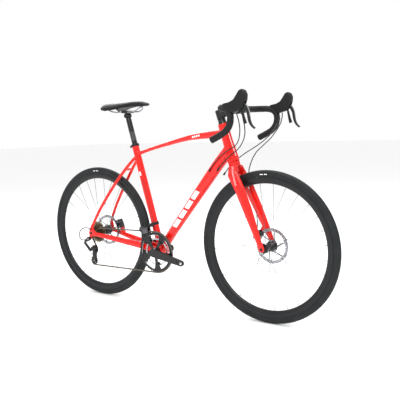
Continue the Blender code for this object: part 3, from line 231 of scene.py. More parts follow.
def frame_paint():
    """Gloss red with plain white bars and pinstripes, and no lettering."""
    made = surface("frame_red", RED, 0.24, grain=700.0, relief=0.03, vary=0.06, coat=0.35, shine=0.3)
    side = made.math('ABSOLUTE', made.along((0, 1, 0), Vector()))

    across_run = Vector((-DOWN_RUN.z, 0, DOWN_RUN.x))
    u = made.along(DOWN_RUN, DOWN_FOOT)
    v = made.along(across_run, DOWN_FOOT)
    slanted = made.math('ADD', u, made.math('MULTIPLY', v, 0.35))
    step = made.math('FRACT', made.math('DIVIDE', made.math('SUBTRACT', slanted, 0.165), 0.0600))
    bars = made.both(made.between(slanted, 0.165, 0.4050), made.math('LESS_THAN', step, 0.80))
    bars = made.both(bars, made.between(v, -0.0085, 0.0150))
    bars = made.both(bars, made.math('GREATER_THAN', side, 0.009))
    tick_step = made.math('FRACT', made.math('DIVIDE', u, 0.0050))
    ticks = made.both(made.between(u, 0.050, 0.160), made.math('LESS_THAN', tick_step, 0.45))
    ticks = made.both(ticks, made.between(v, 0.0135, 0.0165))

    top_run = Vector((0.982, 0, 0.187)).normalized()
    top_at = Vector((0.100, 0, 0.8250))
    w = made.along(top_run, top_at)
    h = made.along(Vector((-top_run.z, 0, top_run.x)), top_at)
    short_step = made.math('FRACT', made.math('DIVIDE', w, 0.0120))
    short = made.both(made.between(w, 0.0240, 0.0715), made.math('LESS_THAN', short_step, 0.68))
    short = made.both(short, made.between(h, -0.0070, 0.0010))
    short = made.both(short, made.math('GREATER_THAN', side, 0.010))

    across_seat = Vector((SEAT_UP.z, 0, -SEAT_UP.x))
    s = made.along(SEAT_UP, BB)
    a = made.along(across_seat, BB)
    slope = made.math('ADD', s, made.math('MULTIPLY', a, 1.6))
    hatch = made.math('FRACT', made.math('DIVIDE', slope, 0.0110))
    panel = made.both(made.between(s, 0.110, 0.365), made.between(a, -0.0010, 0.0125))
    panel = made.both(panel, made.math('GREATER_THAN', side, 0.008))
    stripes = made.both(panel, made.math('LESS_THAN', hatch, 0.42))
    badge = made.both(made.between(s, 0.385, 0.405), made.between(a, -0.0060, 0.0050))
    badge = made.both(badge, made.math('GREATER_THAN', side, 0.012))

    up = made.along(STEER_UP, STEER)
    near_head = made.between(made.along((1, 0, 0), STEER), -0.01, 0.12)
    on_head = made.both(made.between(up, -0.200, -0.060), near_head)
    on_head = made.both(on_head, made.between(side, 0.0085, 0.0112))
    ahead = made.math('GREATER_THAN', made.along((STEER_UP.z, 0, -STEER_UP.x), STEER), 0.004)
    on_head = made.both(on_head, ahead)

    white = made.either(made.either(bars, ticks), made.either(short, on_head))
    dress_in(made, (stripes, DARK_RED), (made.either(white, badge), WHITE))
    return made.material


def fork_paint():
    """The frame's red with two white pinstripes down the outside of each blade."""
    made = surface("fork_red", RED, 0.24, grain=700.0, relief=0.03, vary=0.06, coat=0.35, shine=0.3)
    side = made.math('ABSOLUTE', made.along((0, 1, 0), Vector()))
    across = Vector((STEER_UP.z, 0, -STEER_UP.x))
    up = made.along(STEER_UP, STEER)
    off = made.along(across, STEER)
    on_blade = made.both(made.between(up, -0.330, -0.215), made.math('GREATER_THAN', side, 0.030))
    lines = made.either(made.between(off, 0.0030, 0.0045), made.between(off, 0.0085, 0.0094))
    dress_in(made, (made.both(on_blade, lines), WHITE))
    return made.material


def tyre_look(centre):
    """Black rubber with ribbed shoulders, and two short pale marks at the top of each sidewall."""
    black = (0.012, 0.014, 0.015)
    made = surface("tyre_rubber", black, 0.52, grain=900.0, relief=0.25, vary=0.25, shine=0.22)
    x = made.along((1, 0, 0), centre)
    z = made.along((0, 0, 1), centre)
    y = made.math('ABSOLUTE', made.along((0, 1, 0), Vector()))
    radius = made.math('SQRT', made.math('ADD', made.math('MULTIPLY', x, x), made.math('MULTIPLY', z, z)))
    turn = made.math('ARCTAN2', z, x)
    band = made.between(radius, RIM_OUTER + 0.0088, RIM_OUTER + 0.0126)
    long_mark = made.between(turn, math.radians(92.0), math.radians(94.6))
    short_mark = made.between(turn, math.radians(88.4), math.radians(90.9))
    mark = made.both(band, made.either(long_mark, short_mark))
    mark = made.both(mark, made.math('GREATER_THAN', y, 0.008))
    dress_in(made, (mark, WHITE))
    wave = made.math('ADD', made.math('MULTIPLY', turn, 900.0), made.math('MULTIPLY', y, 700.0))
    ribs = made.math('SINE', wave)
    shoulder = made.between(radius, RIM_OUTER + 0.0170, TYRE_RADIUS - 0.0014)
    made.bump(made.both(ribs, shoulder), 0.35, 0.0004)
    return made.material


def tape_look():
    """Dull black tape with rows of small dimples."""
    made = surface("bar_tape", (0.009, 0.009, 0.010), 0.62, grain=500.0, relief=0.3, vary=0.25, shine=0.25)
    dots = made.tree.nodes.new("ShaderNodeTexVoronoi")
    dots.inputs["Scale"].default_value = 420.0
    made.feed(dots.inputs["Vector"], made.place)
    made.bump(dots.outputs["Distance"], 0.55, 0.0006)
    return made.material


def brushed(name, colour, rough, stretch=(40, 1200, 40)):
    made = surface(name, colour, rough, 1.0, grain=1.0, relief=0.25, vary=0.08, stretch=stretch)
    return made.material


def plain(*args, **more):
    return surface(*args, **more).material


FRAME_PAINT = frame_paint()
FORK_PAINT = fork_paint()
TYRE_FRONT = tyre_look(FRONT)
TYRE_REAR = tyre_look(REAR)
TAPE = tape_look()
RIM_BLACK = plain("rim_black", (0.008, 0.009, 0.010), 0.36, grain=500.0, relief=0.06, vary=0.2, shine=0.3)
ALLOY_BLACK = plain("black_anodised", (0.008, 0.008, 0.009), 0.34, grain=900.0, relief=0.08, shine=0.35)
FORGED_BLACK = plain("forged_black", (0.010, 0.011, 0.012), 0.28, grain=600.0, relief=0.04, shine=0.35)
PLASTIC_BLACK = plain("black_plastic", (0.007, 0.007, 0.008), 0.45, grain=800.0, relief=0.18, shine=0.3)
HOOD_RUBBER = plain("hood_rubber", (0.006, 0.006, 0.007), 0.55, grain=1300.0, relief=0.35, shine=0.28)
LEATHER = plain("saddle_leather", (0.006, 0.006, 0.007), 0.42, grain=900.0, relief=0.35, shine=0.28)
THREAD = plain("thread", (0.035, 0.035, 0.038), 0.7, grain=2500.0, relief=0.5, shine=0.2)
HOUSING = plain("cable_housing", (0.006, 0.006, 0.007), 0.35, grain=1200.0, relief=0.1, shine=0.3)
SILVER = brushed("silver_alloy", (0.42, 0.43, 0.45), 0.25)
STEEL = brushed("polished_steel", (0.36, 0.37, 0.39), 0.22, stretch=(600, 40, 600))
DARK_STEEL = brushed("dark_steel", (0.10, 0.10, 0.11), 0.26, stretch=(600, 40, 600))
CHAIN_STEEL = plain("chain_steel", (0.13, 0.11, 0.09), 0.34, metal=1.0, grain=1500.0, relief=0.2)
SPROCKET = brushed("sprocket_steel", (0.27, 0.23, 0.16), 0.28, stretch=(700, 60, 700))
ROTOR_STEEL = brushed("rotor_steel", (0.30, 0.31, 0.33), 0.30, stretch=(900, 60, 900))
SPOKE_STEEL = brushed("spoke_steel", (0.13, 0.13, 0.14), 0.24, stretch=(900, 900, 900))


SLOT_OF = {
    ALLOY_BLACK: "black_alloy", FORGED_BLACK: "black_alloy", RIM_BLACK: "black_alloy",
    PLASTIC_BLACK: "plastic", SILVER: "silver_alloy", STEEL: "steel", DARK_STEEL: "steel",
    CHAIN_STEEL: "steel", SPROCKET: "steel", ROTOR_STEEL: "steel", SPOKE_STEEL: "silver_alloy",
    HOOD_RUBBER: "hood", LEATHER: "saddle_skin", THREAD: "saddle_skin", TAPE: "tape",
    FRAME_PAINT: "frame_paint", FORK_PAINT: "frame_paint", TYRE_FRONT: "tyre", TYRE_REAR: "tyre"}
SIDES = ((1, "left"), (-1, "right"))


# ---- making pieces --------------------------------------------------------------------
def piece(name, mesh, material, body, replaced=(), sharp=35.0, slot=None):
    """One shown piece: its finish, the body it rides on, and the CAD nodes it stands for."""
    if isinstance(mesh, bmesh.types.BMesh):
        mesh = mesh_from(name, mesh)
    mesh.materials.clear()
    mesh.materials.append(material)
    mesh.shade_smooth()
    mesh.set_sharp_from_angle(angle=math.radians(sharp))
    made = bpy.data.objects.new(name, mesh)
    bpy.context.scene.collection.objects.link(made)
    slot = slot or SLOT_OF[material]
    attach(made, body)
    if replaced:
        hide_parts(*replaced)
    return made


def mesh_from(name, build):
    """Closed-surface mesh from a bmesh, with its normals made consistent."""
    bmesh.ops.recalc_face_normals(build, faces=build.faces)
    mesh = bpy.data.meshes.new(name)
    build.to_mesh(mesh)
    build.free()
    return mesh


def with_modifiers(mesh, *steps):
    """A new mesh after a list of (modifier type, settings)."""
    holder = bpy.data.objects.new("holder", mesh)
    bpy.context.scene.collection.objects.link(holder)
    for kind, settings in steps:
        modifier = holder.modifiers.new(kind, kind)
        for key, value in settings.items():
            setattr(modifier, key, value)
    view = holder.evaluated_get(bpy.context.evaluated_depsgraph_get())
    baked = bpy.data.meshes.new_from_object(view)
    bpy.data.objects.remove(holder)
    return baked


def node_copy(*nodes):
    """The meshes of CAD nodes in one new mesh, welded, with flat areas left as single faces."""
    build = bmesh.new()
    for node in nodes:
        build.from_mesh(NODES[node].data)
    bmesh.ops.remove_doubles(build, verts=build.verts, dist=1e-6)
    bmesh.ops.dissolve_limit(build, angle_limit=0.01, verts=build.verts, edges=build.edges)
    return mesh_from(nodes[0] + "_copy", build)


def rounded(name, nodes, voxel, passes, material, body, swell=0.0, keep=1.0, shape=None):
    """CAD nodes melted into one smooth form, for cast, moulded, forged and welded pieces."""
    melted = with_modifiers(
        node_copy(*nodes),
        ('REMESH', {"mode": 'VOXEL', "voxel_size": voxel}),
        ('SMOOTH', {"factor": 0.5, "iterations": passes}),
        ('DISPLACE', {"strength": swell, "mid_level": 0.0}),
        ('DECIMATE', {"ratio": keep}))
    if shape:
        for vertex in melted.vertices:
            vertex.co = shape(vertex.co)
    return piece(name, melted, material, body, nodes, 60.0)


def bevelled(name, node, width, material, body, slot=None):
    """A machined CAD node with its edges broken."""
    cut = with_modifiers(
        node_copy(node),
        ('BEVEL', {"width": width, "segments": 2, "limit_method": 'ANGLE',
                   "angle_limit": math.radians(28), "harden_normals": True}))
    return piece(name, cut, material, body, (node,), slot=slot)


def facing(axis):
    """Rotation that takes +Z to an axis."""
    return Vector((0, 0, 1)).rotation_difference(Vector(axis)).to_matrix().to_4x4()


def turned(profile, steps, at, axis=(0, 1, 0), closed=False, build=None):
    """Revolve (radius, height) points about an axis through a place."""
    build = build or bmesh.new()
    lie = Matrix.Translation(at) @ facing(axis)
    rings = []
    for radius, height in profile:
        count = steps if radius > 1e-6 else 1
        rings.append([build.verts.new(lie @ Vector((radius * math.cos(2 * math.pi * k / count),
                                                    radius * math.sin(2 * math.pi * k / count), height)))
                      for k in range(count)])
    pairs = list(zip(rings, rings[1:]))
    if closed:
        pairs.append((rings[-1], rings[0]))
    for first, second in pairs:
        for k in range(steps):
            corners = [first[k % len(first)], first[(k + 1) % len(first)],
                       second[(k + 1) % len(second)], second[k % len(second)]]
            corners = [c for i, c in enumerate(corners) if c not in corners[:i]]
            if len(corners) > 2:
                build.faces.new(corners)
    return build


def sweep(points, radius, sides, build=None, closed=False, capped=True):
    """A tube along points; radius is a number or a function of (distance, angle)."""
    build = build or bmesh.new()
    points = [Vector(point) for point in points]
    count = len(points)
    distance = 0.0
    side = None
    rings = []
    for i, point in enumerate(points):
        if closed:
            forward = (points[(i + 1) % count] - points[i - 1]).normalized()
        else:
            forward = (points[min(i + 1, count - 1)] - points[max(i - 1, 0)]).normalized()
        if i:
            distance += (point - points[i - 1]).length
        if side is None:
            start = Vector((0, 0, 1)) if abs(forward.z) < 0.9 else Vector((1, 0, 0))
            side = forward.cross(start).normalized()
        side = (side - forward * side.dot(forward)).normalized()
        up = forward.cross(side)
        ring = []
        for k in range(sides):
            angle = 2 * math.pi * k / sides
            reach = radius(distance, angle) if callable(radius) else radius
            ring.append(build.verts.new(point + (side * math.cos(angle) + up * math.sin(angle)) * reach))
        rings.append(ring)
    pairs = list(zip(rings, rings[1:]))
    if closed:
        pairs.append((rings[-1], rings[0]))
    for first, second in pairs:
        for k in range(sides):
            n = (k + 1) % sides
            build.faces.new((first[k], first[n], second[n], second[k]))
    if capped and not closed:
        build.faces.new(rings[0])
        build.faces.new(rings[-1])
    return build


def smooth(points, per_span):
    """Catmull-Rom curve through a list of points."""
    points = [Vector(point) for point in points]
    spots = [points[0] * 2 - points[1], *points, points[-1] * 2 - points[-2]]
    run = []
    for i in range(1, len(spots) - 2):
        a, b, c, d = spots[i - 1:i + 3]
        for k in range(per_span):
            t = k / per_span
            run.append(0.5 * (2 * b + (c - a) * t + (2 * a - 5 * b + 4 * c - d) * t * t
                              + (3 * b - a - 3 * c + d) * t ** 3))
    return [*run, points[-1]]


def arc(centre, radius, start, stop, count):
    step = (stop - start) / (count - 1)
    return [(centre[0] + radius * math.cos(start + step * k),
             centre[1] + radius * math.sin(start + step * k))
            for k in range(count)]


def circle(centre, radius, count):
    return arc(centre, radius, 0, 2 * math.pi * (count - 1) / count, count)


def plate(outlines, y_low, y_high, bevel=0.00025, build=None):
    """A flat plate across Y from closed outlines in (x, z); inner outlines are holes."""
    curve = bpy.data.curves.new("plate", 'CURVE')
    curve.dimensions = '2D'
    curve.fill_mode = 'BOTH'
    curve.extrude = (y_high - y_low) / 2 - bevel
    curve.bevel_depth = bevel
    curve.bevel_resolution = 0
    curve.offset = -bevel
    for outline in outlines:
        spline = curve.splines.new('POLY')
        spline.points.add(len(outline) - 1)
        spline.use_cyclic_u = True
        for point, (x, z) in zip(spline.points, outline):
            point.co = (x, z, 0, 1)
    holder = bpy.data.objects.new("plate", curve)
    mesh = holder.to_mesh()
    turn = Matrix.Translation((0, (y_low + y_high) / 2, 0)) @ Matrix.Rotation(math.pi / 2, 4, 'X')
    mesh.transform(turn)
    build = build or bmesh.new()
    build.from_mesh(mesh)
    holder.to_mesh_clear()
    bpy.data.objects.remove(holder)
    bmesh.ops.remove_doubles(build, verts=build.verts, dist=1e-7)
    return build


def bolt(build, at, axis, radius, height, depth=0.5):
    """A round bolt head with a hexagonal socket."""
    axis = Vector(axis).normalized()
    at = Vector(at)
    turned([(0, 0), (radius, 0), (radius, height * 0.75), (radius * 0.85, height), (radius * 0.55, height)],
           20, at, axis, build=build)
    turned([(radius * 0.55, height), (radius * 0.50, height * (1 - depth)), (0, height * (1 - depth))],
           6, at, axis, build=build)


def bolts(name, places, body, material=STEEL, slot="steel"):
    """One piece with several bolt heads: (place, axis, radius, height)."""
    build = bmesh.new()
    for at, axis, radius, height in places:
        bolt(build, at, axis, radius, height)
    return piece(name, build, material, body, slot=slot)


# ---- frame and fork -------------------------------------------------------------------
def frame_and_fork():
    tubes = ("head_tube", "top_tube", "down_tube", "seat_tube", "stays_left", "stays_right")
    rounded("frame_shell", tubes, 0.0019, 8, FRAME_PAINT, "frame", 0.0004, 0.45)
    rounded("fork_shell", ("fork",), 0.0019, 8, FORK_PAINT, "steering", 0.0004, 0.6)
    bevelled("headset_cover", "headset_upper", 0.0006, ALLOY_BLACK, "frame")
    bevelled("headset_lower_ring", "headset_bearing_lower", 0.0004, STEEL, "frame")
    bevelled("bottom_bracket_cups", "bottom_bracket", 0.0008, ALLOY_BLACK, "frame")
    rounded("seat_collar_clamp", ("seat_collar",), 0.0007, 4, ALLOY_BLACK, "frame", 0.0, 0.6)
    low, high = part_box("seat_collar")
    rear = Vector((low.x + 0.0050, 0, (low.z + high.z) / 2 - 0.004))
    bolts("seat_collar_bolt", [(rear + Vector((0, 0.0102, 0)), (0, 1, 0), 0.0030, 0.0008)], "frame")
    build = bmesh.new()
    reach = 0.012
    for node in ("shift_cable_rear", "brake_cable_rear", "shift_cable_front"):
        co = [vertex.co for vertex in NODES[node].data.vertices]
        end = min(co, key=lambda p: p.z)
        near = [p for p in co if (p - end).length < 0.0050]
        foot = sum(near, Vector()) / len(near)
        before = [p for p in co if 0.010 < (p - foot).length < 0.024]
        run = (sum(before, Vector()) / len(before) - foot).normalized()
        sleeve = [(0.0024, reach), (0.0036, reach - 0.001), (0.0042, 0.002), (0.0046, -0.003),
                  (0.0024, -0.003)]
        turned(sleeve, 18, foot, run, closed=True, build=build)
    piece("cable_ferrules", build, PLASTIC_BLACK, "steering")


# ---- wheels ---------------------------------------------------------------------------
def tyre_profile():
    """Tyre section: round crown and sidewalls that pinch in to the rim's edges."""
    mid = RIM_OUTER + 0.0145
    rise = TYRE_RADIUS - mid
    outer = []
    for k in range(25):
        angle = math.radians(-126 + 252 * k / 24)
        outer.append((mid + rise * math.cos(angle), TYRE_HALF * math.sin(angle)))
    return [(RIM_OUTER + 0.0002, -0.0106), *outer, (RIM_OUTER + 0.0002, 0.0106)]


def rim_profile():
    half = [(RIM_OUTER, 0.0098), (RIM_OUTER - 0.0006, RIM_HALF), (RIM_OUTER - 0.0045, RIM_HALF),
            (RIM_OUTER - 0.0110, RIM_HALF - 0.0003), (RIM_INNER + 0.0120, 0.0098),
            (RIM_INNER + 0.0060, 0.0075),
            (RIM_INNER + 0.0022, 0.0048), (RIM_INNER + 0.0003, 0.0020)]
    well = [(RIM_OUTER - 0.0050, -0.0070), (RIM_OUTER - 0.0050, 0.0070)]
    return half + [(r, -y) for r, y in reversed(half)] + well


def spoke_lines(centre, left_flange, right_flange, flange_radius):
    """Start and end of every spoke; the same crossing pattern as the CAD."""
    for i in range(SPOKES):
        side = 1 if i % 2 == 0 else -1
        trailing = 1 if (i // 2) % 2 == 0 else -1
        rim_angle = 2 * math.pi * (i + 0.5) / SPOKES
        hub_angle = rim_angle + trailing * SPOKE_CROSSING
        flange = left_flange if side > 0 else right_flange
        start = centre + Vector((flange_radius * math.cos(hub_angle), flange + trailing * 0.0011,
                                 flange_radius * math.sin(hub_angle)))
        end = centre + Vector((RIM_INNER * math.cos(rim_angle), side * 0.0015,
                               RIM_INNER * math.sin(rim_angle)))
        yield start, end


def rotor_outlines(centre):
    """Disc with a wavy edge, long windows between curved arms, and rows of vent holes."""
    middle = (centre.x, centre.z)
    edge = []
    for k in range(144):
        angle = 2 * math.pi * k / 144
        edge.append((middle[0] + (ROTOR_RADIUS - 0.0006 + 0.0005 * math.cos(12 * angle)) * math.cos(angle),
                     middle[1] + (ROTOR_RADIUS - 0.0006 + 0.0005 * math.cos(12 * angle)) * math.sin(angle)))
    outlines = [edge, circle(middle, 0.0150, 36)]
    arms = 6
    for k in range(arms):
        start = 2 * math.pi * k / arms
        span = 2 * math.pi / arms
        outer = arc(middle, 0.0655, start + 0.34, start + span + 0.27, 12)
        inner = arc(middle, 0.0275, start + span - 0.12, start + 0.12, 6)
        outlines.append(outer + inner)
    for k in range(24):
        angle = 2 * math.pi * k / 24
        for radius, shift, size in ((0.0695, 0.0, 0.0019), (0.0737, 0.10, 0.0016), (0.0768, 0.18, 0.0010)):
            turn = angle + shift
            hole = (middle[0] + radius * math.cos(turn), middle[1] + radius * math.sin(turn))
            outlines.append(circle(hole, size, 10))
    return outlines


def wheel(label, centre, body, hub_profile, flanges, tyre_material):
    rubber = turned(tyre_profile(), WHEEL_STEPS, centre, closed=True)
    piece(label + "_tyre_casing", rubber, tyre_material, body, (label + "_tyre",), 50)
    hoop = turned(rim_profile(), WHEEL_STEPS, centre, closed=True)
    piece(label + "_rim_section", hoop, RIM_BLACK, body, (label + "_rim",), 40)

    spokes = bmesh.new()
    nipples = bmesh.new()
    for start, end in spoke_lines(centre, *flanges, 0.0175 if label == "rear" else 0.0170):
        run = (end - start).normalized()
        sweep([start, end - run * 0.004], SPOKE_RADIUS, 8, spokes)
        turned([(0, -0.0125), (0.0013, -0.0125), (0.0019, -0.0110), (0.0021, -0.001), (0, -0.001)],
               10, end, run, build=nipples)
    piece(label + "_spokes", spokes, SPOKE_STEEL, body)
    piece(label + "_nipples", nipples, SILVER, body)
    hub = turned(hub_profile, 56, centre, closed=True)
    piece(label + "_hub_shell", hub, ALLOY_BLACK, body, (label + "_hub",), 30, slot="silver_alloy")

    low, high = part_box(label + "_rotor")
    disc = plate(rotor_outlines(centre), low.y, high.y, 0.0002)
    piece(label + "_rotor_disc", disc, ROTOR_STEEL, body, (label + "_rotor",), 30)
    carrier = turned([(0.0150, high.y), (0.0215, high.y), (0.0205, high.y + 0.0022),
                      (0.0150, high.y + 0.0022)], 18, centre, closed=True)
    piece(label + "_rotor_lockring", carrier, ALLOY_BLACK, body)


def wheels():
    bore = 0.0064
    left, right = 0.0240, -0.0335
    end = 0.0497
    front = [(0.0100, end), (0.0145, 0.0420), (0.0145, 0.0388), (0.0205, 0.0388), (0.0205, left + 0.0040),
             (0.0212, left + 0.0022), (0.0212, left - 0.0022), (0.0190, left - 0.0035),
             (0.0125, left - 0.008), (0.0115, left - 0.014), (0.0115, right + 0.014),
             (0.0125, right + 0.008), (0.0190, right + 0.0035), (0.0212, right + 0.0022),
             (0.0212, right - 0.0022), (0.0110, right - 0.0050), (0.0100, -end), (bore, -end), (bore, end)]
    wheel("front", FRONT, "front_wheel", front, (left, right), TYRE_FRONT)
    left, right = 0.0340, -0.0180
    end = 0.0707
    inboard = SPROCKET_OUTER_Y + 10 * SPROCKET_STEP + 0.0020
    rear = [(0.0100, end), (0.0145, 0.0560), (0.0145, 0.0523), (0.0205, 0.0523), (0.0205, left + 0.0040),
            (0.0212, left + 0.0022), (0.0212, left - 0.0022), (0.0190, left - 0.0035),
            (0.0135, left - 0.008), (0.0125, left - 0.014), (0.0125, right + 0.014),
            (0.0145, right + 0.008), (0.0200, right + 0.0035), (0.0230, right + 0.0022),
            (0.0230, right - 0.0022), (0.0170, right - 0.0040), (0.0170, inboard), (bore, inboard),
            (bore, end)]
    wheel("rear", REAR, "rear_wheel", rear, (left, right), TYRE_REAR)
    for label, body in (("front", "steering"), ("rear", "frame")):
        bevelled(label + "_through_axle", label + "_axle", 0.0006, ALLOY_BLACK, body, slot="steel")


# ---- drivetrain -----------------------------------------------------------------------
def belt_path():
    """Centre line of the chain round its four wheels, as in the CAD but with finer arcs."""
    stops = [(REAR, pitch_radius(CASSETTE_TEETH[REST_SPROCKET]), 1, CHAIN_Y, 24, 0, 0.020),
             (BB, pitch_radius(LARGE_TEETH), 1, LARGE_RING_Y, 60, 0.035, 0.035),
             (TENSION, pitch_radius(PULLEY_TEETH), 1, CHAIN_Y, 20, 0.020, 0),
             (GUIDE, pitch_radius(PULLEY_TEETH), -1, CHAIN_Y, 16, 0, 0)]
    normals = []
    for i, (start, r_start, turn_start, *_) in enumerate(stops):
        end, r_end, turn_end, *_ = stops[(i + 1) % len(stops)]
        run = Vector((end.x - start.x, end.z - start.z))
        across = (turn_start * r_start - turn_end * r_end) / run.length
        ahead = run.normalized()
        side = Vector((-ahead.y, ahead.x))
        normals.append(ahead * across + side * math.sqrt(1 - across * across))
    points = []
    for i, (centre, radius, turn, y, count, lead_in, lead_out) in enumerate(stops):
        into, out = normals[i - 1], normals[i]
        first = math.atan2(into.y * turn, into.x * turn)
        last = math.atan2(out.y * turn, out.x * turn)
        while turn * (first - last) < 0:
            last -= turn * 2 * math.pi
        wrap = arc((centre.x, centre.z), radius, first, last, count)
        if lead_in:
            wrap.insert(0, (wrap[0][0] - into.y * lead_in, wrap[0][1] + into.x * lead_in))
        if lead_out:
            wrap.append((wrap[-1][0] + out.y * lead_out, wrap[-1][1] - out.x * lead_out))
        points += [Vector((x, y, z)) for x, z in wrap]
    return points


def chain_pins():
    """Pin centres at one even pitch round the whole path."""
    path = belt_path()
    path.append(path[0])
    lengths = [(b - a).length for a, b in zip(path, path[1:])]
    total = sum(lengths)
    count = 2 * round(total / CHAIN_PITCH / 2)
    pins = []
    i = 0
    done = 0.0
    for k in range(count):
        want = total * k / count
        while done + lengths[i] < want:
            done += lengths[i]
            i += 1
        pins.append(path[i].lerp(path[i + 1], (want - done) / lengths[i]))
    return pins


PINS = chain_pins()


def link_plate(build, a, b, near, far, radius, waist):
    """A waisted side plate round two pins, between two offsets across the chain."""
    ahead = (b - a).normalized()
    across = (Vector((0, 1, 0)) - ahead * ahead.y).normalized()
    up = ahead.cross(across)
    outline = []
    for centre, heading in ((b, 0.0), (a, math.pi)):
        for k in range(9):
            angle = heading - 2.0 + 4.0 * k / 8
            outline.append(centre + ahead * math.cos(angle) * radius + up * math.sin(angle) * radius)
        outline.append((a + b) / 2 + up * (waist if heading == 0.0 else -waist))
    faces = [[build.verts.new(point + across * offset) for point in outline] for offset in (near, far)]
    size = len(outline)
    build.faces.new(faces[0])
    build.faces.new(faces[1])
    for k in range(size):
        n = (k + 1) % size
        build.faces.new((faces[0][k], faces[0][n], faces[1][n], faces[1][k]))


def chain():
    plates = bmesh.new()
    rollers = bmesh.new()
    for i, pin in enumerate(PINS):
        after = PINS[(i + 1) % len(PINS)]
        near, far = (0.00125, 0.00180) if i % 2 else (0.00185, 0.00240)
        for side in (1, -1):
            link_plate(plates, pin, after, side * near, side * far, 0.0039, 0.0026)
        turned([(0, -0.0025), (0.0015, -0.0025), (0.0018, -0.0023), (0.0018, -0.0012),
                (ROLLER_RADIUS, -0.0012), (ROLLER_RADIUS, 0.0012), (0.0018, 0.0012), (0.0018, 0.0023),
                (0.0015, 0.0025), (0, 0.0025)], 10, pin, build=rollers)
    piece("chain_plates", plates, CHAIN_STEEL, "frame", ("chain",), 30)
    piece("chain_rollers", rollers, DARK_STEEL, "frame", (), 30)


def toothed(teeth, centre, tip=0.0010):
    """Sprocket outline: a rounded gap for each roller and a narrow tooth between."""
    radius = pitch_radius(teeth)
    held = [pin for pin in PINS if abs(math.hypot(pin.x - centre.x, pin.z - centre.z) - radius) < 0.0004]
    phase = math.atan2(held[0].z - centre.z, held[0].x - centre.x) if held else 0.0
    step = 2 * math.pi / teeth
    outline = []
    for k in range(teeth):
        gap = phase + k * step
        for turn, reach in ((-0.34, tip), (-0.27, -0.0015), (-0.14, -0.0036), (0.0, -0.0040), (0.14,
                                                                                               -0.0036),
                            (0.27, -0.0015), (0.34, tip)):
            angle = gap + turn * step
            outline.append((centre.x + (radius + reach) * math.cos(angle),
                            centre.z + (radius + reach) * math.sin(angle)))
    return outline


def cassette():
    centre = (REAR.x, REAR.z)
    build = bmesh.new()
    for i, teeth in enumerate(CASSETTE_TEETH):
        y = SPROCKET_OUTER_Y + i * SPROCKET_STEP
        outlines = [toothed(teeth, REAR), circle(centre, 0.0150, 30)]
        rim = pitch_radius(teeth) - 0.0100
        if teeth >= 17:
            arms = 5 if teeth < 23 else 6
            for k in range(arms):
                start = 2 * math.pi * k / arms + 0.3 * i
                span = 2 * math.pi / arms
                inner = 0.0200
                outlines.append(arc(centre, rim, start + 0.16, start + span - 0.16, 9)
                                + arc(centre, inner, start + span - 0.26, start + 0.26, 5))
        plate(outlines, y - 0.0008, y + 0.0008, 0.00015, build)
    piece("cassette_sprockets", build, SPROCKET, "cassette_body", ("cassette",), 30)
    inboard = SPROCKET_OUTER_Y + 10 * SPROCKET_STEP + 0.0016
    body = turned([(0.0070, inboard), (0.0172, inboard), (0.0172, SPROCKET_OUTER_Y - 0.0010),
                   (0.0150, SPROCKET_OUTER_Y - 0.0022), (0.0105, SPROCKET_OUTER_Y - 0.0022),
                   (0.0100, -0.0705), (0.0070, -0.0705)], 40, REAR, closed=True)
    piece("cassette_carrier", body, SILVER, "cassette_body")


def ring_window(tab_radius, rim_radius, centre):
    """Inner edge of a chainring, with five tabs that reach in to the bolts."""
    edge = []
    for arm in range(SPIDER_ARMS):
        heading = CRANK_ANGLE + 2 * math.pi * arm / SPIDER_ARMS
        edge += arc(centre, tab_radius, heading - math.radians(9), heading + math.radians(9), 5)
        edge += arc(centre, rim_radius, heading + math.radians(14), heading + math.radians(58), 16)
    return edge


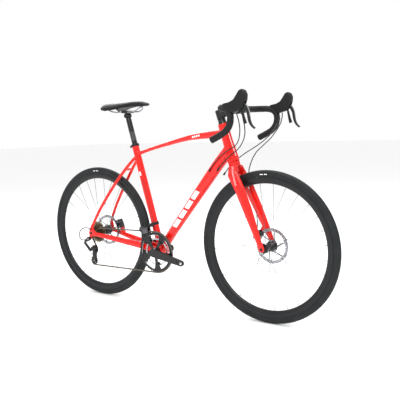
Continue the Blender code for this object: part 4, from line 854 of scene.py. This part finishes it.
def cranks():
    centre = (BB.x, BB.z)
    large = plate([toothed(LARGE_TEETH, BB), ring_window(0.0490, 0.0845, centre)],
                  LARGE_RING_Y - 0.0009, LARGE_RING_Y + 0.0009)
    piece("chainring_large_toothed", large, ALLOY_BLACK, "crankset", ("chainring_large",), 30)
    small = plate([toothed(SMALL_TEETH, BB), ring_window(0.0490, 0.0605, centre)],
                  SMALL_RING_Y - 0.0010, SMALL_RING_Y + 0.0010)
    piece("chainring_small_toothed", small, SILVER, "crankset", ("chainring_small",), 30)
    face = LARGE_RING_Y - 0.0010
    bright = bmesh.new()
    cover = bmesh.new()
    for arm in range(SPIDER_ARMS):
        heading = CRANK_ANGLE + 2 * math.pi * arm / SPIDER_ARMS
        first, last = heading + math.radians(15), heading + math.radians(57)
        plate([arc(centre, 0.0868, first, last, 16) + arc(centre, 0.0846, last, first, 16)],
              face - 0.0010, face, 0.0002, bright)
        first, last = heading - math.radians(36), heading + math.radians(36)
        plate([arc(centre, 0.0925, first, last, 20) + arc(centre, 0.0872, last, first, 20)],
              face - 0.0014, face, 0.0004, cover)
    piece("chainring_bright_edge", bright, SILVER, "crankset")
    piece("chainring_face", cover, FORGED_BLACK, "crankset")
    rounded("crank_right_forging", ("crank_right",), 0.0010, 6, FORGED_BLACK, "crankset", 0.0002, 0.5)
    rounded("crank_left_forging", ("crank_left",), 0.0010, 6, FORGED_BLACK, "crankset", 0.0002, 0.5)
    places = []
    for arm in range(SPIDER_ARMS):
        heading = CRANK_ANGLE + 2 * math.pi * arm / SPIDER_ARMS
        spoke = Vector((math.cos(heading), 0, math.sin(heading)))
        at = BB + spoke * SPIDER_BOLT_RADIUS + Vector((0, -0.0518, 0))
        if arm:
            places.append((at, (0, -1, 0), 0.0045, 0.0012))
    bolts("chainring_bolts", places, "crankset", ALLOY_BLACK, slot="black_alloy")
    cap = bmesh.new()
    turned([(0, 0.0738), (0.0095, 0.0738), (0.0095, 0.0730), (0, 0.0730)], 24, BB, build=cap)
    piece("crank_cap", cap, ALLOY_BLACK, "crankset")
    run = Vector((math.cos(CRANK_ANGLE), 0, math.sin(CRANK_ANGLE)))
    inserts = bmesh.new()
    for way in (1, -1):
        eye = BB + run * (way * CRANK_LENGTH)
        y = -way * 0.0605
        thread = [(0.0070, -0.0062)]
        for k in range(9):
            thread += [(0.0062, -0.0058 + k * 0.0013), (0.0070, -0.00515 + k * 0.0013)]
        turned([*thread, (0.0070, 0.0066), (0.0076, 0.0066), (0.0076, -0.0062)], 28,
               Vector((eye.x, y - way * 0.0065, eye.z)), closed=True, build=inserts)
    piece("pedal_thread_inserts", inserts, SILVER, "crankset")


def pulley(name, node, centre, body):
    outline = toothed(PULLEY_TEETH, centre, 0.0008)
    holes = [circle((centre.x, centre.z), 0.0050, 16)]
    for k in range(5):
        angle = 2 * math.pi * k / 5
        holes.append(circle((centre.x + 0.0098 * math.cos(angle), centre.z + 0.0098 * math.sin(angle)),
                            0.0021, 10))
    toothed_wheel = plate([outline, *holes], CHAIN_Y - 0.0010, CHAIN_Y + 0.0010, 0.0002)
    piece(name, toothed_wheel, PLASTIC_BLACK, body, (node,), 30)
    bush = turned([(0.0028, -0.0018), (0.0052, -0.0018), (0.0052, 0.0018), (0.0028, 0.0018)], 20,
                  Vector((centre.x, CHAIN_Y, centre.z)), closed=True)
    piece(name + "_bush", bush, STEEL, body)


def derailleurs():
    rounded("front_mech_clamp", ("front_derailleur_body",), 0.0008, 5, ALLOY_BLACK, "frame", 0.0, 0.5)
    bevelled("front_mech_cage", "front_derailleur_cage", 0.0003, DARK_STEEL, "front_mech")
    rounded("rear_mech_hanger_knuckle", ("rear_derailleur_knuckle",), 0.0007, 7, FORGED_BLACK, "frame",
            0.0002, 0.5)
    rounded("rear_mech_link", ("rear_derailleur_link",), 0.0006, 5, FORGED_BLACK, "rear_mech", 0.0, 0.5)
    rounded("rear_mech_cage_knuckle", ("rear_derailleur_cage_knuckle",), 0.0007, 5, FORGED_BLACK,
            "cage_knuckle", 0.0, 0.5)
    bevelled("rear_mech_cage", "rear_derailleur_cage", 0.0003, ALLOY_BLACK, "cage")
    pulley("guide_pulley_wheel", "guide_pulley", GUIDE, "guide_wheel")
    pulley("tension_pulley_wheel", "tension_pulley", TENSION, "tension_wheel")
    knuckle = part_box("rear_derailleur_knuckle")
    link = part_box("rear_derailleur_link")
    bolts("rear_mech_bolts", [((-0.514, knuckle[0].y + 0.0006, 0.311), (0, -1, 0), 0.0062, 0.0012)],
          "frame", SILVER)
    bolts("rear_mech_link_pins",
          [((-0.541, link[0].y + 0.0006, 0.290), (0, -1, 0), 0.0030, 0.0009),
           ((-0.5016, link[0].y + 0.0006, 0.2503), (0, -1, 0), 0.0030, 0.0009)], "rear_mech")
    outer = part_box("rear_derailleur_cage")[0].y
    bolts("pulley_bolts", [((TENSION.x, outer + 0.0004, TENSION.z), (0, -1, 0), 0.0036, 0.0010)], "cage")


# ---- brakes ---------------------------------------------------------------------------
def brakes():
    for label, body, arm_body, centre in (("front", "steering", "front_brake_arm", FRONT),
                                          ("rear", "frame", "rear_brake_arm", REAR)):
        rounded(label + "_caliper_body", (label + "_caliper",), 0.0008, 7, ALLOY_BLACK, body, 0.0002, 0.4)
        bevelled(label + "_caliper_lever", label + "_caliper_arm", 0.0006, ALLOY_BLACK, arm_body)
        pivot = joint_at(label + "_brake_arm_pivot")
        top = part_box(label + "_caliper_arm")[1].y
        bolts(label + "_caliper_arm_bolt", [((pivot.x, top - 0.0004, pivot.z), (0, 1, 0), 0.0046, 0.0016)],
              arm_body, SILVER)
        out = Vector((pivot.x - centre.x, 0, pivot.z - centre.z)).normalized()
        along = Vector((out.z, 0, -out.x))
        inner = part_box(label + "_caliper")[0].y
        places = []
        for way in (1, -1):
            at = pivot + along * (way * 0.0150)
            places.append((Vector((at.x, inner + 0.0006, at.z)), (0, -1, 0), 0.0042, 0.0016))
        bolts(label + "_caliper_bolts", places, body)


# ---- cockpit --------------------------------------------------------------------------
BAR = Vector((0.375, 0, 0.945))
BAR_HALF = [(0, 0.0, 0), (0, 0.060, 0), (0.001, 0.120, 0.001), (0.012, 0.166, 0.002), (0.038, 0.190, 0.001),
            (0.064, 0.196, -0.009), (0.077, 0.198, -0.032), (0.073, 0.198, -0.066), (0.052, 0.198, -0.094),
            (0.020, 0.198, -0.112), (-0.018, 0.198, -0.129)]
TAPE_START = 0.0620
WRAP = 0.0210


def bar_line(side, start, per_span):
    run = [point for point in smooth(BAR_HALF, per_span) if point.y > start + 0.001]
    return [BAR + Vector((point.x, side * point.y, point.z)) for point in [Vector((0, start, 0)), *run]]


def tape_radius(side):
    """Overlapping wraps: the radius climbs along each turn and drops at its edge."""
    def reach(distance, angle):
        turn = (distance / WRAP - side * angle / (2 * math.pi)) % 1.0
        edge = min(turn / 0.10, 1.0)
        return TAPE_RADIUS - 0.0011 + 0.0010 * edge * (1 - 0.55 * turn)
    return reach


def handlebar():
    for side, label in SIDES:
        run = bar_line(side, TAPE_START, 18)
        even = []
        for a, b in zip(run, run[1:]):
            steps = max(1, round((b - a).length / 0.0016))
            even += [a.lerp(b, k / steps) for k in range(steps)]
        even.append(run[-1])
        skin = sweep(even, tape_radius(side), 28)
        piece("bar_tape_wrap_" + label, skin, TAPE, "steering", ("bar_tape_" + label,), 70)
        tail = (run[-1] - run[-2]).normalized()
        plug = turned([(0, 0.0021), (0.0080, 0.0020), (0.0125, 0.0008), (0.0138, -0.0010),
                       (0.0138, -0.0030), (0, -0.0030)], 32, run[-1] - tail * 0.0012, tail)
        piece("bar_plug_" + label, plug, PLASTIC_BLACK, "steering")
        band = turned([(0.0125, 0), (0.0150, 0), (0.0150, 0.0120), (0.0125, 0.0120)], 32,
                      BAR + Vector((0, side * TAPE_START, 0)), (0, side, 0), closed=True)
        piece("bar_tape_band_" + label, band, PLASTIC_BLACK, "steering", slot="tape")
    clamp = 0.0159
    thin = BAR_RADIUS - 0.0004
    core = turned([(0, TAPE_START + 0.004), (thin, TAPE_START + 0.004), (thin, 0.0520), (0.0135, 0.0440),
                   (clamp, 0.0350), (clamp, -0.0350), (0.0135, -0.0440), (thin, -0.0520),
                   (thin, -TAPE_START - 0.004), (0, -TAPE_START - 0.004)], 48, BAR)
    piece("handlebar_centre", core, ALLOY_BLACK, "steering", ("handlebar",))


def crowned_hood(side):
    """Narrows the horn towards its tip and rounds the flat sides of the hood."""
    low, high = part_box("hood_left" if side > 0 else "hood_right")
    middle = (low + high) / 2

    def shape(point):
        rise = max(0.0, (point.z - 0.9750) / (high.z - 0.9750))
        squeeze = 1.0 - 0.30 * rise * rise
        back = max(0.0, (0.4550 - point.x) / 0.034)
        squeeze *= 1.0 + 0.04 * back
        return Vector((point.x, middle.y + (point.y - middle.y) * min(squeeze, 1.0), point.z))
    return shape


def controls():
    for side, label in SIDES:
        rounded("hood_rubber_" + label, ("hood_" + label,), 0.0012, 22, HOOD_RUBBER, "steering", 0.0, 0.45,
                crowned_hood(side))
        rounded("brake_blade_" + label, ("brake_lever_" + label,), 0.0007, 7, FORGED_BLACK,
                "lever_" + label, 0.0003, 0.5)
        rounded("shift_blade_" + label, ("shift_paddle_" + label,), 0.0006, 5, PLASTIC_BLACK,
                "paddle_" + label, 0.0002, 0.5)
        pivot = joint_at("brake_lever_" + label + "_pivot")
        places = []
        for way in (1, -1):
            places.append((Vector((pivot.x, pivot.y + way * 0.0046, pivot.z)), (0, way, 0), 0.0032, 0.0008))
        bolts("brake_pivot_pin_" + label, places, "lever_" + label, SILVER)
        trim = smooth([(0.5270, 0, 0.9560), (0.5345, 0, 0.9440), (0.5405, 0, 0.9270), (0.5435, 0, 0.9080)],
                      5)
        strip = bmesh.new()
        sweep([point + Vector((0.0014, pivot.y, 0)) for point in trim],
              lambda distance, angle: 0.0028 if abs(math.cos(angle)) > 0.7 else 0.0018, 12, strip)
        piece("lever_trim_" + label, strip, SILVER, "lever_" + label)


def stem():
    rounded("stem_forging", ("stem",), 0.0010, 6, ALLOY_BLACK, "steering", 0.0002, 0.45)
    rounded("stem_face_cap", ("stem_faceplate",), 0.0008, 5, ALLOY_BLACK, "steering", 0.0, 0.5)
    low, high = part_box("stem_faceplate")
    places = []
    for y in (0.0150, -0.0150):
        for z in (low.z + 0.0055, high.z - 0.0055):
            places.append((Vector((high.x - 0.0042, y, z)), (1, 0, 0), 0.0030, 0.0030))
    bolts("stem_face_bolts", places, "steering")
    top = max((vertex.co.dot(STEER_UP) for vertex in NODES["stem"].data.vertices)) - STEER.dot(STEER_UP)
    cap = turned([(0, -0.0020), (0.0160, -0.0020), (0.0160, -0.0002), (0.0150, 0.0004), (0, 0.0004)], 40,
                 STEER + STEER_UP * (top - 0.0006), STEER_UP)
    piece("steerer_cap", cap, SILVER, "steering")
    bolts("steerer_cap_bolt", [(STEER + STEER_UP * (top - 0.0004), STEER_UP, 0.0036, 0.0010)], "steering")


def cables():
    for node in ("brake_cable_front", "brake_cable_rear", "shift_cable_front", "shift_cable_rear",
                 "derailleur_cable"):
        NODES[node].data.materials.clear()
        NODES[node].data.materials.append(HOUSING)
        NODES[node].data.shade_smooth()


# ---- seatpost and saddle --------------------------------------------------------------
def seatpost():
    top = SADDLE_AXIS
    post = turned([(0, -0.3200), (0.0125, -0.3200), (0.0136, -0.3190), (0.0136, -0.0230), (0.0128, -0.0130),
                   (0.0100, -0.0080), (0, -0.0080)], 48, top, SEAT_UP)
    piece("seatpost_tube", post, ALLOY_BLACK, "seatpost_body", ("seatpost",))
    head = turned([(0, -0.0170), (0.0108, -0.0170), (0.0119, -0.0160), (0.0119, 0.0160), (0.0108, 0.0170),
                   (0, 0.0170)], 40, top)
    piece("seatpost_head", head, ALLOY_BLACK, "seatpost_body")
    lines = bmesh.new()
    for k in range(9):
        turned([(0.01360, 0), (0.01375, 0), (0.01375, 0.0008), (0.01360, 0.0008)], 40,
               top + SEAT_UP * (-0.128 + 0.005 * k), SEAT_UP, closed=True, build=lines)
    piece("seatpost_height_marks", lines, SILVER, "seatpost_body")


def saddle():
    low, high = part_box("saddle_cover")

    def dished(point):
        along = (point.x - low.x) / (high.x - low.x)
        width = 0.0055 + 0.0050 * (1 - along)
        share = min(max((along - 0.1) / 0.65, 0), 1)
        dip = 0.0028 * math.exp(-(point.y / width) ** 2) * math.sin(math.pi * share)
        if point.z < low.z + 0.012:
            dip = 0.0
        return Vector((point.x, point.y, point.z - dip))

    pad = rounded("saddle_pad", ("saddle_cover",), 0.0016, 9, LEATHER, "saddle", 0.0, 0.6, dished)
    rounded("saddle_base", ("saddle_shell",), 0.0012, 5, PLASTIC_BLACK, "saddle", 0.0, 0.5)
    rounded("saddle_rail_wire", ("saddle_rails",), 0.0009, 5, STEEL, "saddle", 0.0002, 0.6)
    rounded("saddle_clamp_block", ("saddle_clamp",), 0.0008, 5, ALLOY_BLACK, "saddle", 0.0, 0.5)
    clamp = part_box("saddle_clamp")
    middle = (clamp[0] + clamp[1]) / 2
    places = [(Vector((middle.x + way * 0.0120, 0, clamp[1].z - 0.0004)), (0, 0, 1), 0.0034, 0.0008)
              for way in (1, -1)]
    bolts("saddle_clamp_bolts", places, "saddle")
    stitches(pad)


def stitches(pad):
    """Two rows of short stitches along the saddle, pressed into its skin."""
    view = BVHTree.FromObject(pad, bpy.context.evaluated_depsgraph_get())
    low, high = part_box("saddle_cover")
    build = bmesh.new()
    length = 0.0030
    count = int((high.x - low.x - 0.05) / (length * 1.7))
    for side in (1, -1):
        for k in range(count):
            x = low.x + 0.016 + k * length * 1.7
            share = (x - low.x) / (high.x - low.x)
            y = side * (0.0125 + 0.0300 * max(0.0, 1 - share * 1.9) ** 1.4)
            ends = []
            for step in (-0.5, 0.5):
                hit = view.ray_cast(Vector((x + step * length, y, high.z + 0.02)), Vector((0, 0, -1)))
                if hit[0]:
                    ends.append(hit[0] + Vector((0, 0, 0.0001)))
            if len(ends) == 2:
                sweep(ends, 0.00035, 6, build)
    piece("saddle_stitching", build, THREAD, "saddle")


# ---- studio ---------------------------------------------------------------------------
def studio():
    floor = bpy.data.meshes.new("studio_floor")
    build = bmesh.new()
    bmesh.ops.create_grid(build, x_segments=1, y_segments=1, size=30)
    build.to_mesh(floor)
    build.free()
    pale = plain("floor_paper", (0.93, 0.93, 0.93), 0.9, grain=40.0, relief=0.0, vary=0.01)
    floor.materials.append(pale)
    ground = bpy.data.objects.new("studio_floor", floor)
    bpy.context.scene.collection.objects.link(ground)

    world = bpy.data.worlds.new("studio")
    world.use_nodes = True
    world.node_tree.nodes["Background"].inputs["Color"].default_value = (1, 1, 1, 1)
    world.node_tree.nodes["Background"].inputs["Strength"].default_value = 1.0
    bpy.context.scene.world = world

    for name, place, target, size, power in (
            ("key", (1.2, -2.6, 3.4), (0, 0, 0.5), 1.6, 85),
            ("overhead", (-0.4, 0.6, 4.2), (0, 0, 0.4), 2.2, 90),
            ("rim_light", (-2.8, 2.4, 2.4), (0, 0, 0.6), 1.8, 30)):
        light = bpy.data.lights.new(name, 'AREA')
        light.shape = 'SQUARE'
        light.size = size
        light.energy = power
        lamp = bpy.data.objects.new(name, light)
        lamp.location = place
        lamp.rotation_euler = (Vector(target) - Vector(place)).to_track_quat('-Z', 'Y').to_euler()
        bpy.context.scene.collection.objects.link(lamp)


def tone():
    """Plain display colours, so that white paper stays white and red stays red."""
    bpy.context.scene.view_settings.view_transform = 'Standard'
    bpy.context.scene.view_settings.look = 'None'


def camera():
    """A camera low on the bicycle's right front, level with the bars, rolled a little."""
    yaw, pitch, roll = (math.radians(angle) for angle in (-35.574, -6.587, -1.695))
    forward = Vector((math.cos(pitch) * math.sin(yaw), math.cos(pitch) * math.cos(yaw), math.sin(pitch)))
    right = Vector((math.cos(yaw), -math.sin(yaw), 0))
    up = right.cross(forward)
    turned_right = right * math.cos(roll) + up * math.sin(roll)
    turned_up = up * math.cos(roll) - right * math.sin(roll)
    lens = bpy.data.cameras.new("camera")
    lens.sensor_width = 36
    lens.lens = 55.2
    eye = bpy.data.objects.new("camera", lens)
    lie = Matrix((turned_right, turned_up, -forward)).transposed().to_4x4()
    eye.matrix_world = Matrix.Translation((1.805, -2.318, 0.863)) @ lie
    bpy.context.scene.collection.objects.link(eye)
    bpy.context.scene.camera = eye


camera()
tone()
studio()
frame_and_fork()
wheels()
chain()
cassette()
cranks()
derailleurs()
brakes()
handlebar()
controls()
stem()
cables()
seatpost()
saddle()
